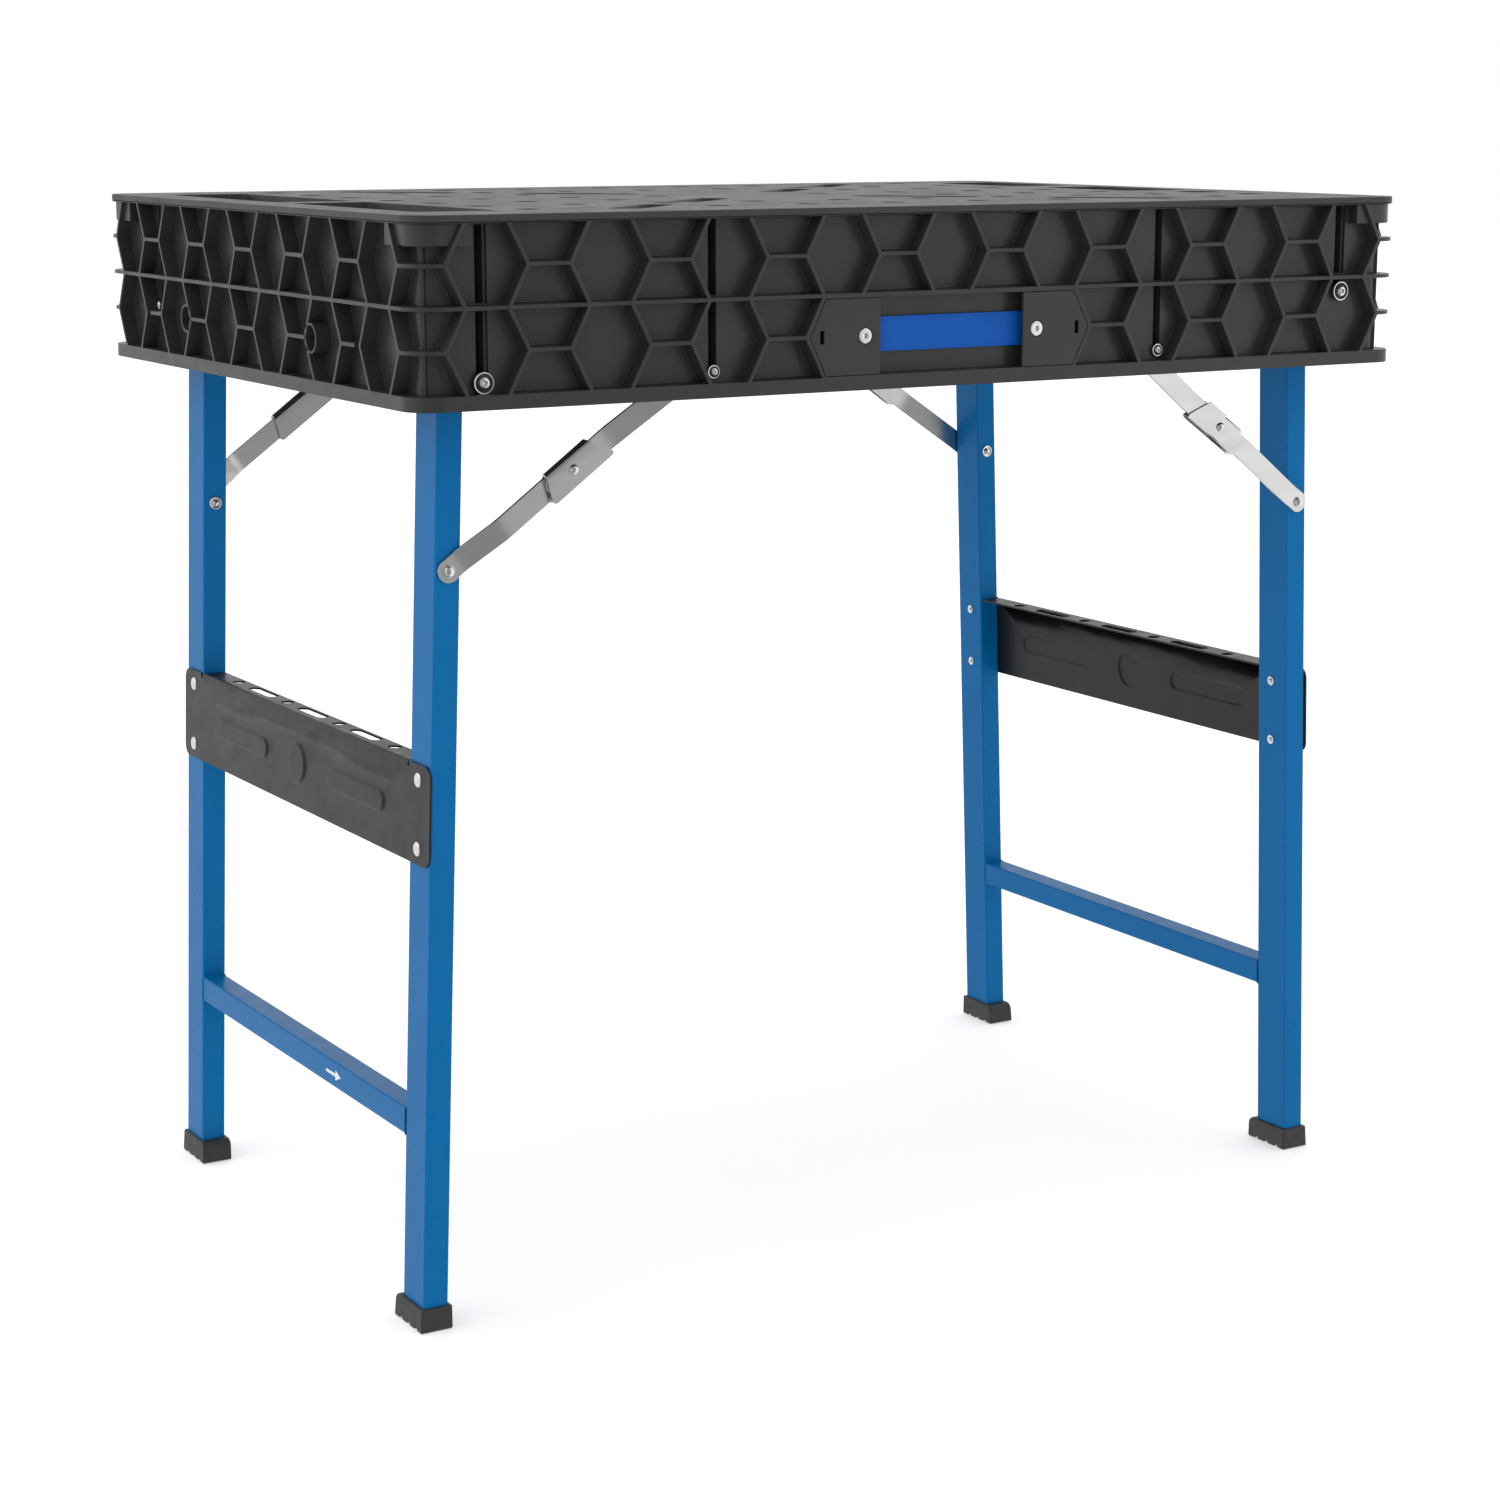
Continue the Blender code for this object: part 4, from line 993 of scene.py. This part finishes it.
def make_cover(side_name, side):
    """One cover plate of the handle, with a screw hole and a small window, and its screw."""
    outline = [
        (COVER_EDGE, COVER_BOTTOM), (COVER_SHOULDER, COVER_BOTTOM), (COVER_TIP, COVER_MIDDLE),
        (COVER_SHOULDER, COVER_TOP), (COVER_EDGE, COVER_TOP),
    ]
    centre = (HANDLE_SCREW_X, COVER_MIDDLE)
    half_x, half_z = COVER_WINDOW
    window = groove(COVER_WINDOW_X, half_x, COVER_MIDDLE - half_z, COVER_MIDDLE + half_z)
    holes = [circle(centre, 6.1 * MM, 32), window]
    bm = bmesh.new()

    def place(a, b, depth=0.0):
        return (side * a, depth - HALF_Y, b)

    edge = 0.4 * MM
    rim = 0.2 * MM
    sheet_with_holes(bm, inset(outline, edge), [inset(hole, -rim) for hole in holes], place)
    sheet_with_holes(bm, outline, holes, lambda a, b: place(a, b, COVER_SHEET))
    levels = ((edge, 0.0), (edge * 0.3, edge * 0.3), (0.0, edge), (0.0, COVER_SHEET))
    loft(bm, stack(outline, levels, place), False, False)
    for hole in holes:
        loft(bm, stack(hole, ((-rim, 0.0), (0.0, rim), (0.0, COVER_SHEET)), place), False, False)
    finish_piece("handle_plate_" + side_name, bm, "plastic", "worktop", ["handle_cover_" + side_name])
    profile = [(-11.7, 2.5), (-2.0, 2.5), (-2.0, 5.7)] + round_edge(-0.1, 5.7, 0.7, 4)
    profile += [(-0.1, 2.7), (-0.15, 2.2, 6), (-0.5, 1.95, 6), (-1.9, 1.9, 6), (-2.1, 0.3, 6)]
    centre = (side * HANDLE_SCREW_X, COVER_MIDDLE)
    node = ["handle_screw_" + side_name]
    turned_piece("handle_bolt_" + side_name, centre, HALF_Y, profile, -1, replaced=node)


def make_strap_half(side_name, side):
    """Half of the strap, with thin raised borders."""
    bm = bmesh.new()
    front = -STRAP_LOW.y
    back = -STRAP_HIGH.y
    low, high = STRAP_LOW.z, STRAP_HIGH.z
    # (thickness from the front, height above the lower edge) in mm
    border = ((0.3, 0), (0, 0.3), (0, 1.0), (0.35, 1.3), (0.35, 2.2), (0, 2.5))
    half_section = [(back, low + 0.6 * MM), (back + 0.6 * MM, low)]
    half_section += [(front - a * MM, low + b * MM) for a, b in border]
    section = half_section + [(a, low + high - b) for a, b in reversed(half_section)]
    loft(bm, [[(side * STRAP_END * step / 30, -a, b) for a, b in section] for step in range(31)])
    replaced = ["handle_strap_tab_" + side_name] + (["handle_strap"] if side < 0 else [])
    strap = finish_piece("strap_" + side_name, bm, "strap", None, replaced, smooth=50)
    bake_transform(strap)


# --- leg frames


def finish_leg_piece(name, bm, look, side, replaced=(), **options):
    """A piece of a leg frame, drawn upright round its pivot and then leaned outward."""
    lean = Matrix.Translation((side * PIVOT_X, 0, PIVOT_Z[side])) @ Matrix.Rotation(-side * SPLAY, 4, "Y")
    bmesh.ops.transform(bm, matrix=lean, verts=bm.verts)
    body = ("left" if side < 0 else "right") + "_leg_frame"
    finish_piece(name, bm, look, body, replaced, **options)


def along_leg(height, side):
    return (height - PIVOT_Z[side]) / cos(SPLAY)


def make_tube(bm, half_a, half_b, low, high, place):
    """A rectangular tube with round edges, open at both ends."""
    wall = LEG_WALL
    edge = 0.2 * MM
    outer = rounded_rectangle(-half_a, half_a, -half_b, half_b, LEG_CORNER)
    inner = rounded_rectangle(
        wall - half_a, half_a - wall, wall - half_b, half_b - wall, LEG_CORNER - wall * 0.7
    )
    stations = ((inner, low + edge), (outer, low), (outer, high), (inner, high - edge), (inner, low + edge))
    loft(bm, [[place(a, b, c) for a, b in ring] for ring, c in stations], False, False)


def make_leg_frame(side_name, side):
    for end_name, end in ENDS:
        place = side_name + "_" + end_name
        bm = bmesh.new()
        middle = end * (LEG_OUTER_Y + LEG_INNER_Y) / 2
        low = along_leg(LEG_BOTTOM, side)
        make_tube(bm, LEG_X / 2, LEG_Y / 2, low, LEG_ABOVE_PIVOT, lambda a, b, c: (a, middle + b, c))
        finish_leg_piece("leg_tube_" + place, bm, "paint", side, ["leg_" + place])
        make_boot(place, side_name, side, end)
        make_leg_rivet(place, side_name, side, end)
    bm = bmesh.new()
    low, high = along_leg(BAR_BOTTOM, side), along_leg(BAR_TOP, side)
    middle = (low + high) / 2
    half = (high - low) / 2
    make_tube(bm, LEG_X / 2, half, -LEG_INNER_Y, LEG_INNER_Y, lambda a, b, c: (a, c, middle + b))
    finish_leg_piece("cross_tube_" + side_name, bm, "paint", side, ["crossbar_" + side_name])
    make_welds(side_name, side, middle, half)
    make_rack(side_name, side)


def make_welds(side_name, side, middle_z, half_z):
    """Thin weld beads where the crossbar meets the legs."""
    bm = bmesh.new()
    bead = 1.1 * MM
    outline = rounded_rectangle(-LEG_X / 2, LEG_X / 2, -half_z, half_z, LEG_CORNER)
    dense = subdivide(outline, [4 if index % 6 == 5 else 1 for index in range(len(outline))])
    for end in (-1, 1):
        rings = []
        for step in range(5):
            turn = pi / 2 * step / 4
            back = bead * sin(turn)
            ring = []
            for index, (a, b) in enumerate(inset(dense, 0.2 * MM - bead * cos(turn))):
                ripple = 1 + 0.18 * sin(index * 2.2)
                ring.append((a, end * (LEG_INNER_Y - back * ripple), middle_z + b))
            rings.append(ring)
        loft(bm, rings, False, False)
    finish_leg_piece("crossbar_welds_" + side_name, bm, "paint", side, smooth=70)


def make_boot(place, side_name, side, end):
    """A rubber foot with a grooved sole and a rounded shoulder, tapering a little upward."""
    outer = LEG_OUTER_Y + BOOT_FLARE
    inner = LEG_INNER_Y - BOOT_INNER_STEP
    land = (outer - inner - BOOT_GROOVES * BOOT_GROOVE) / (BOOT_GROOVES + 1)
    profile = [(inner, 0)]
    for index in range(BOOT_GROOVES):
        start = inner + land + index * (land + BOOT_GROOVE)
        profile += [(start, 0)] + arc((start + BOOT_GROOVE / 2, 0), BOOT_GROOVE / 2, 180, 0, 6)[1:-1]
        profile.append((start + BOOT_GROOVE, 0))
    profile += [(outer, 0), (outer, BOOT_TOP)]
    profile += arc((inner + BOOT_SHOULDER, BOOT_TOP - BOOT_SHOULDER), BOOT_SHOULDER, 90, 180, 6)
    half = LEG_X / 2 + BOOT_FLARE
    bm = bmesh.new()
    loft(bm, [[(x, end * y, z) for y, z in profile] for x in (-half, half)])
    middle = end * (outer + inner) / 2
    for vertex in bm.verts:
        x, y, z = vertex.co
        draft = BOOT_DRAFT * z / BOOT_TOP
        vertex.co.x += side * leg_x(z, side) - copysign(draft, x)
        vertex.co.y -= copysign(draft, y - middle)
    finish_piece("boot_" + place, bm, "rubber", side_name + "_leg_frame", ["foot_" + place], bevel=1.2 * MM)


def leg_x(height, side):
    """How far out the middle of a leg is at a height."""
    return PIVOT_X + (PIVOT_Z[side] - height) * tan(SPLAY)


def make_leg_rivet(place, side_name, side, end):
    """The riveted-over tail of the brace's leg pivot, on the leg's inner face."""
    profile = [(-1.5, 3.6), (0.1, 5.4)] + round_edge(1.2, 5.4, 0.5) + [(1.2, 4.0), (0.8, 3.4)]
    profile += dome(0.8, 2.8, 2.2)
    centre = (side * leg_x(LEG_PIVOT_HEIGHT, side), LEG_PIVOT_HEIGHT)
    body = side_name + "_leg_frame"
    turned_piece("leg_rivet_tail_" + place, centre, -LEG_INNER_Y, profile, -end, body=body)


def make_rack(side_name, side):
    """The tool rack: a pressed sheet with a bent top edge, holes, slots and rounded beads."""
    low, high = along_leg(RACK_BOTTOM, side), along_leg(RACK_TOP, side)
    outer = RACK_FACE + RACK_SHEET
    bm = bmesh.new()
    fold = high - RACK_BEND
    notch_x, notch_z = RACK_FLANGE_HALF_Y + RACK_NOTCH[0], fold - RACK_NOTCH[1]

    def plate(a, b, depth=0.0):
        """a is y, b is the height, and depth is measured inward from the outer face."""
        return (side * (outer - depth), a, b)

    corner_y = RACK_HALF_Y - RACK_CORNER
    half = arc((corner_y, high - RACK_CORNER), RACK_CORNER, 0, 90, 6)
    half += [(notch_x, high), (notch_x, notch_z), (RACK_FLANGE_HALF_Y, notch_z), (RACK_FLANGE_HALF_Y, fold)]
    outline = mirrored(half)
    outline += arc((-corner_y, low + RACK_CORNER), RACK_CORNER, 180, 270, 6)
    outline += arc((corner_y, low + RACK_CORNER), RACK_CORNER, 270, 360, 6)
    bead_z = (low + high) / 2 - 2 * MM
    beads = [stadium((y, bead_z), 44 * MM, 9 * MM, 0, 8) for y in (-112 * MM, 112 * MM)]
    beads.append(circle((0, bead_z), 17 * MM, 40))
    for face in (0.0, RACK_SHEET):
        sheet_with_holes(bm, outline, beads, lambda a, b: plate(a, b, face))
        for bead in beads:
            pressed_recess(bm, bead, [(distance, face - rise) for distance, rise in RACK_BEAD], plate)
    fold_edge = len(half) - 1
    rings = [[plate(a, b, depth) for a, b in outline] for depth in (0.0, RACK_SHEET)]
    loft(bm, rings, False, False, skip=(fold_edge,))
    add_rack_flange(bm, side, outer, high)
    node = ["tool_rack_" + side_name]
    finish_leg_piece("rack_plate_" + side_name, bm, "panel_paint", side, node, smooth=40)
    make_rack_rivets(side_name, side)


def add_rack_flange(bm, side, outer, high):
    """The bent top edge of the rack with its holes, joined to the plate below the bend."""
    x_bend = outer - RACK_BEND
    centre = (x_bend, high - RACK_BEND)
    bend = arc(centre, RACK_BEND, 0, 90, 6) + arc(centre, RACK_BEND - RACK_SHEET, 90, 0, 6)
    width = RACK_FLANGE_HALF_Y
    loft(bm, [[(side * x, y, z) for x, z in bend] for y in (-width, width)])
    hole_x = outer - RACK_HOLE_INSET
    outline = rounded_rectangle(outer - RACK_FLANGE, x_bend + 0.01 * MM, -width, width, 0.01 * MM, 1)
    holes = [circle((hole_x, y), RACK_HOLE_RADIUS, 28) for y in RACK_HOLES_Y]
    holes += [stadium((hole_x, y), RACK_SLOT_HALF, RACK_SLOT_RADIUS, 90) for y in RACK_SLOTS_Y]

    def place(a, b, depth=0.0):
        return (side * a, b, high - depth)

    sheet_with_holes(bm, outline, holes, place)
    sheet_with_holes(bm, outline, holes, lambda a, b: place(a, b, RACK_SHEET))
    for loop in [outline] + holes:
        loft(bm, stack(loop, ((0.0, 0.0), (0.0, RACK_SHEET)), place), False, False)


def make_rack_rivets(side_name, side):
    bm = bmesh.new()
    head = [(-1.0, 2.5), (0.05, 2.5)] + dome(0.05, 5.4, 1.9)
    tail = [(-1.5, 2.5), (0.05, 3.9)] + round_edge(0.9, 3.9, 0.4) + [(0.9, 2.6)] + dome(0.6, 2.0, 1.5)
    for y in (-RACK_RIVET_Y, RACK_RIVET_Y):
        for height in RACK_RIVET_Z:
            centre = (y, along_leg(height, side))
            spin_along_x(bm, centre, RACK_FACE + RACK_SHEET, head, side)
            spin_along_x(bm, centre, LEG_X / 2, tail, -side)
    finish_leg_piece("rack_rivets_" + side_name, bm, "bolt_steel", side)


def make_direction_mark():
    """A plain pale arrow on the left crossbar."""
    bm = bmesh.new()
    middle = (along_leg(BAR_BOTTOM, -1) + along_leg(BAR_TOP, -1)) / 2
    face = LEG_X / 2 + 0.05 * MM
    outline = ((-14, -1.2), (4, -1.2), (4, -4), (14, 0), (4, 4), (4, 1.2), (-14, 1.2))
    depths = (face, face + 0.15 * MM)
    loft(bm, [[(-depth, (-72 - a) * MM, middle + b * MM) for a, b in outline] for depth in depths])
    finish_leg_piece("direction_arrow", bm, "mark", -1)


# --- braces


def make_link(name, start, stop, layers, flats, end, body):
    """A flat strip with round ends and softened edges that steps between two layers."""
    along = (stop - start).normalized()
    across = Vector((-along.y, along.x))
    length = (stop - start).length
    edge = 0.35 * MM
    stations = [length * step / 24 for step in range(25)]
    turns = [pi * step / 14 for step in range(1, 14)]

    def place(distance, offset, depth):
        share = (distance - flats[0]) / (length - flats[0] - flats[1])
        layer = layers[0] + (layers[1] - layers[0]) * min(1.0, max(0.0, share))
        spot = start + along * distance + across * offset
        return (spot.x, end * (layer + depth), spot.y)

    rings = []
    for shrink, depth in ((edge, 0.0), (0.0, edge), (0.0, LINK_SHEET - edge), (edge, LINK_SHEET)):
        reach = LINK_WIDTH / 2 - shrink
        points = [(s, -reach) for s in stations]
        points += [(length + reach * sin(a), -reach * cos(a)) for a in turns]
        points += [(s, reach) for s in reversed(stations)]
        points += [(-reach * sin(a), reach * cos(a)) for a in turns]
        rings.append([place(s, offset, depth) for s, offset in points])
    bm = bmesh.new()
    made = loft(bm, rings, False, False)
    for ring in (made[0], made[-1]):
        low, far, high, near = ring[:25], ring[25:38], ring[38:63], ring[63:]
        strip(bm, low, high[::-1])
        bm.faces.new([low[-1]] + far + [high[0]])
        bm.faces.new([high[-1]] + near + [low[0]])
    finish_piece(name, bm, "zinc", body, ["brace_" + name])


def add_sleeve_sheet(bm, grids):
    """A sheet between two grids of points, its outer and its inner face."""
    outer, inner = [[[bm.verts.new(point) for point in column] for column in grid] for grid in grids]
    for grid in (outer, inner):
        for near, far in zip(grid, grid[1:]):
            strip(bm, near, far)
    for column in (0, -1):
        strip(bm, outer[column], inner[column])
    for row in (0, -1):
        strip(bm, [column[row] for column in outer], [column[row] for column in inner])


def make_sleeve(place, centre, along, side, end, body):
    """The folded sheet over the knee: two plates joined by a rounded fold along the upper edge."""
    up = Vector((-along.y, along.x)) * side
    middle = (SLEEVE_BACK + SLEEVE_FRONT) / 2
    half = (SLEEVE_FRONT - SLEEVE_BACK) / 2
    top = SLEEVE_HALF_WIDTH + SLEEVE_SHEET
    heights = [SLEEVE_CORNER * share - SLEEVE_BELOW for share in (0, 0.08, 0.25, 0.5, 1.0)] + [0.0]

    def reach(height, share_along):
        """The sleeve's length from its middle at a height, with slanted ends and round lower corners."""
        rise = height + SLEEVE_BELOW
        lower_half = SLEEVE_BOTTOM_HALF + (SLEEVE_LONG_CORNER if share_along < 0 else 0.0)
        length = lower_half + (SLEEVE_TOP_HALF - lower_half) * rise / (top + SLEEVE_BELOW)
        if rise < SLEEVE_CORNER:
            length -= SLEEVE_CORNER - sqrt(max(0.0, SLEEVE_CORNER**2 - (SLEEVE_CORNER - rise) ** 2))
        return length

    def closed_line(thickness):
        """Points (height, layer) from the lower back edge over the fold to the lower front edge."""
        radius = half - thickness
        low = [(h, middle - radius) for h in heights]
        high = [(h, middle + radius) for h in reversed(heights)]
        return low + arc((top - half, middle), radius, -90, 90, 8) + high

    def flat_line(offset):
        return [(h, middle + offset) for h in heights + [top]]

    def grid(line, shares):
        columns = []
        for share in shares:
            spots = [(centre + along * share * reach(h, share) + up * h, layer) for h, layer in line]
            columns.append([(spot.x, end * layer, spot.y) for spot, layer in spots])
        return columns

    bm = bmesh.new()
    closed = (closed_line(0.0), closed_line(SLEEVE_SHEET))
    if KNEE_OFFSET[side]:
        add_sleeve_sheet(bm, [grid(line, [step / 3 - 1 for step in range(7)]) for line in closed])
    else:
        add_sleeve_sheet(bm, [grid(line, (0, 1 / 3, 2 / 3, 1)) for line in closed])
        for sign in (-1, 1):
            plate = (flat_line(sign * half), flat_line(sign * (half - SLEEVE_SHEET)))
            add_sleeve_sheet(bm, [grid(line, (-1, -2 / 3, -1 / 3, 0)) for line in plate])
    finish_piece("sleeve_" + place, bm, "zinc", body, ["brace_sleeve_" + place], smooth=40)


def make_brace(side_name, side, end_name, end):
    """Two links with a sleeve over the knee between them, drawn straight, and their rivets."""
    place = side_name + "_" + end_name
    upper, lower = "brace_upper_" + place, "brace_lower_" + place
    skirt = Vector((side * SKIRT_PIVOT[0], SKIRT_PIVOT[1]))
    leg = Vector((side * leg_x(LEG_PIVOT_HEIGHT, side), LEG_PIVOT_HEIGHT))
    along = (leg - skirt).normalized()
    centre = (skirt + leg) / 2
    knee = centre + along * KNEE_OFFSET[side]
    knee_flat = SLEEVE_BOTTOM_HALF + KNEE_OFFSET[side] + FLAT_NEAR_KNEE + SLEEVE_LONG_CORNER
    layers = (SKIRT_LAYER, KNEE_UPPER_LAYER)
    make_link("upper_link_" + place, skirt, knee, layers, (FLAT_NEAR_END, knee_flat), end, upper)
    layers = (KNEE_LOWER_LAYER, LEG_LAYER)
    make_link("lower_link_" + place, knee, leg, layers, (knee_flat, FLAT_NEAR_END), end, lower)
    make_sleeve(place, centre, along, side, end, upper)
    bm = bmesh.new()
    spin(bm, centre, SLEEVE_FRONT, [(-1.0, 2.4)] + dome(0.05, 3.7, 2.4), end)
    if KNEE_OFFSET[side]:
        finish_piece("sleeve_rivet_" + place, bm, "bolt_steel", upper, ["brace_sleeve_rivet_" + place])
        length = (KNEE_UPPER_LAYER + LINK_SHEET - KNEE_LOWER_LAYER) / MM
        pin = ((0, 2.0), (0.3, 2.4), (length - 0.3, 2.4), (length, 2.0))
        node = ["brace_knee_pin_" + place]
        turned_piece("knee_pin_" + place, knee, KNEE_LOWER_LAYER, pin, end, body=lower, replaced=node)
    else:
        spin(bm, centre, -SLEEVE_BACK, [(1.0, 2.4)] + dome(0.05, 3.7, 1.4), -end)
        finish_piece("knee_rivet_" + place, bm, "bolt_steel", upper, ["brace_knee_rivet_" + place])
    head = [(-0.5, 4.6), (0.05, 4.6)] + round_edge(0.7, 4.6, 0.4) + dome(0.6, 3.9, 2.6)
    turned_piece("leg_rivet_" + place, leg, LEG_LAYER + LINK_SHEET, head, end, body=lower)


# --- stage


# What shiny surfaces see round the horizon: (degrees from the front towards the right, brightness)
SURROUNDINGS = (
    (-180, 0.75), (-110, 0.75), (-70, 0.50), (-20, 0.24), (26, 0.28), (38, 0.98), (60, 0.85), (180, 0.75),
)
SURROUNDINGS_STRENGTH = 1.3
FLOOR_HALF = 14.0
FLOOR_BELOW = 0.5 * MM
# (name, place, target, power, width)
LIGHTS = (
    ("soft_left", (-3.4, 0.6, 2.4), (0, 0, 0.5), 12, 2.4),
    ("soft_top", (0.2, 0.8, 3.6), (0, 0, 0.8), 10, 2.4),
)


def make_floor(scene):
    mesh = bpy.data.meshes.new("floor")
    corners = [(x * FLOOR_HALF, y * FLOOR_HALF, 0) for x, y in ((-1, -1), (1, -1), (1, 1), (-1, 1))]
    mesh.from_pydata(corners, [], [(0, 1, 2, 3)])
    floor = bpy.data.objects.new("floor", mesh)
    floor.location.z = -FLOOR_BELOW
    floor.visible_glossy = False
    scene.collection.objects.link(floor)
    material = bpy.data.materials.new("pale_floor")
    material.use_nodes = True
    tree = material.node_tree
    feed(tree, tree.nodes["Principled BSDF"], {
        "Base Color": (0.80, 0.80, 0.80, 1),
        "Roughness": 0.8,
        "Emission Color": (1, 1, 1, 1),
        "Emission Strength": 0.4,
    })
    mesh.materials.append(material)


def make_surroundings(scene):
    """A white world. Shiny surfaces see it dimmer towards the front than at the sides."""
    world = bpy.data.worlds.new("studio")
    scene.world = world
    world.use_nodes = True
    tree = world.node_tree
    plain = tree.nodes["Background"]
    feed(tree, plain, {"Color": (1, 1, 1, 1), "Strength": 1.0})
    split = add_node(tree, "SeparateXYZ", Vector=add_node(tree, "TexCoord").outputs["Generated"])
    front = add_node(tree, "Math")
    front.operation = "MULTIPLY"
    feed(tree, front, {0: split.outputs["Y"], 1: -1.0})
    bearing = add_node(tree, "Math")
    bearing.operation = "ARCTAN2"
    feed(tree, bearing, {0: split.outputs["X"], 1: front.outputs["Value"]})
    share = add_node(tree, "MapRange", Value=bearing.outputs["Value"], From_Min=-pi, From_Max=pi)
    ramp = add_node(tree, "ValToRGB", Fac=share.outputs["Result"])
    stops = ramp.color_ramp.elements
    while len(stops) < len(SURROUNDINGS):
        stops.new(0.5)
    for stop, (degrees, brightness) in zip(stops, SURROUNDINGS):
        stop.position = degrees / 360 + 0.5
        stop.color = (brightness, brightness, brightness, 1)
    shaded = add_node(tree, "Background", Color=ramp.outputs["Color"], Strength=SURROUNDINGS_STRENGTH)
    mix = add_node(tree, "MixShader", Fac=add_node(tree, "LightPath").outputs["Is Glossy Ray"])
    feed(tree, mix, {1: plain.outputs["Background"], 2: shaded.outputs["Background"]})
    feed(tree, tree.nodes["World Output"], {"Surface": mix.outputs["Shader"]})


def make_stage():
    """A pale floor, white surroundings, two soft lights and the camera."""
    scene = bpy.context.scene
    scene.view_settings.view_transform = "Standard"
    make_floor(scene)
    make_surroundings(scene)
    for name, place, target, power, width in LIGHTS:
        data = bpy.data.lights.new(name, "AREA")
        data.energy = power
        data.size = width
        light = bpy.data.objects.new(name, data)
        light.location = place
        light.rotation_euler = (Vector(target) - Vector(place)).to_track_quat("-Z", "Y").to_euler()
        scene.collection.objects.link(light)
    data = bpy.data.cameras.new("camera")
    data.lens = CAMERA_LENS
    data.sensor_width = CAMERA_SENSOR
    camera = bpy.data.objects.new("camera", data)
    camera.location = CAMERA_PLACE
    camera.rotation_euler = [radians(angle) for angle in CAMERA_TURN]
    scene.collection.objects.link(camera)
    scene.camera = camera


def main():
    make_stage()
    make_skirt()
    make_corner_pads()
    make_end_sockets()
    make_deck()
    make_bolts()
    make_end_screws()
    for side_name, side in SIDES:
        make_cover(side_name, side)
        make_strap_half(side_name, side)
    for side_name, side in SIDES:
        make_leg_frame(side_name, side)
        for end_name, end in ENDS:
            make_brace(side_name, side, end_name, end)
    make_direction_mark()
    # The rib grid is the one CAD node that stays in view
    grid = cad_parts["deck_rib_grid"].data
    grid.materials.clear()
    grid.materials.append(MATERIALS["plastic"])


main()
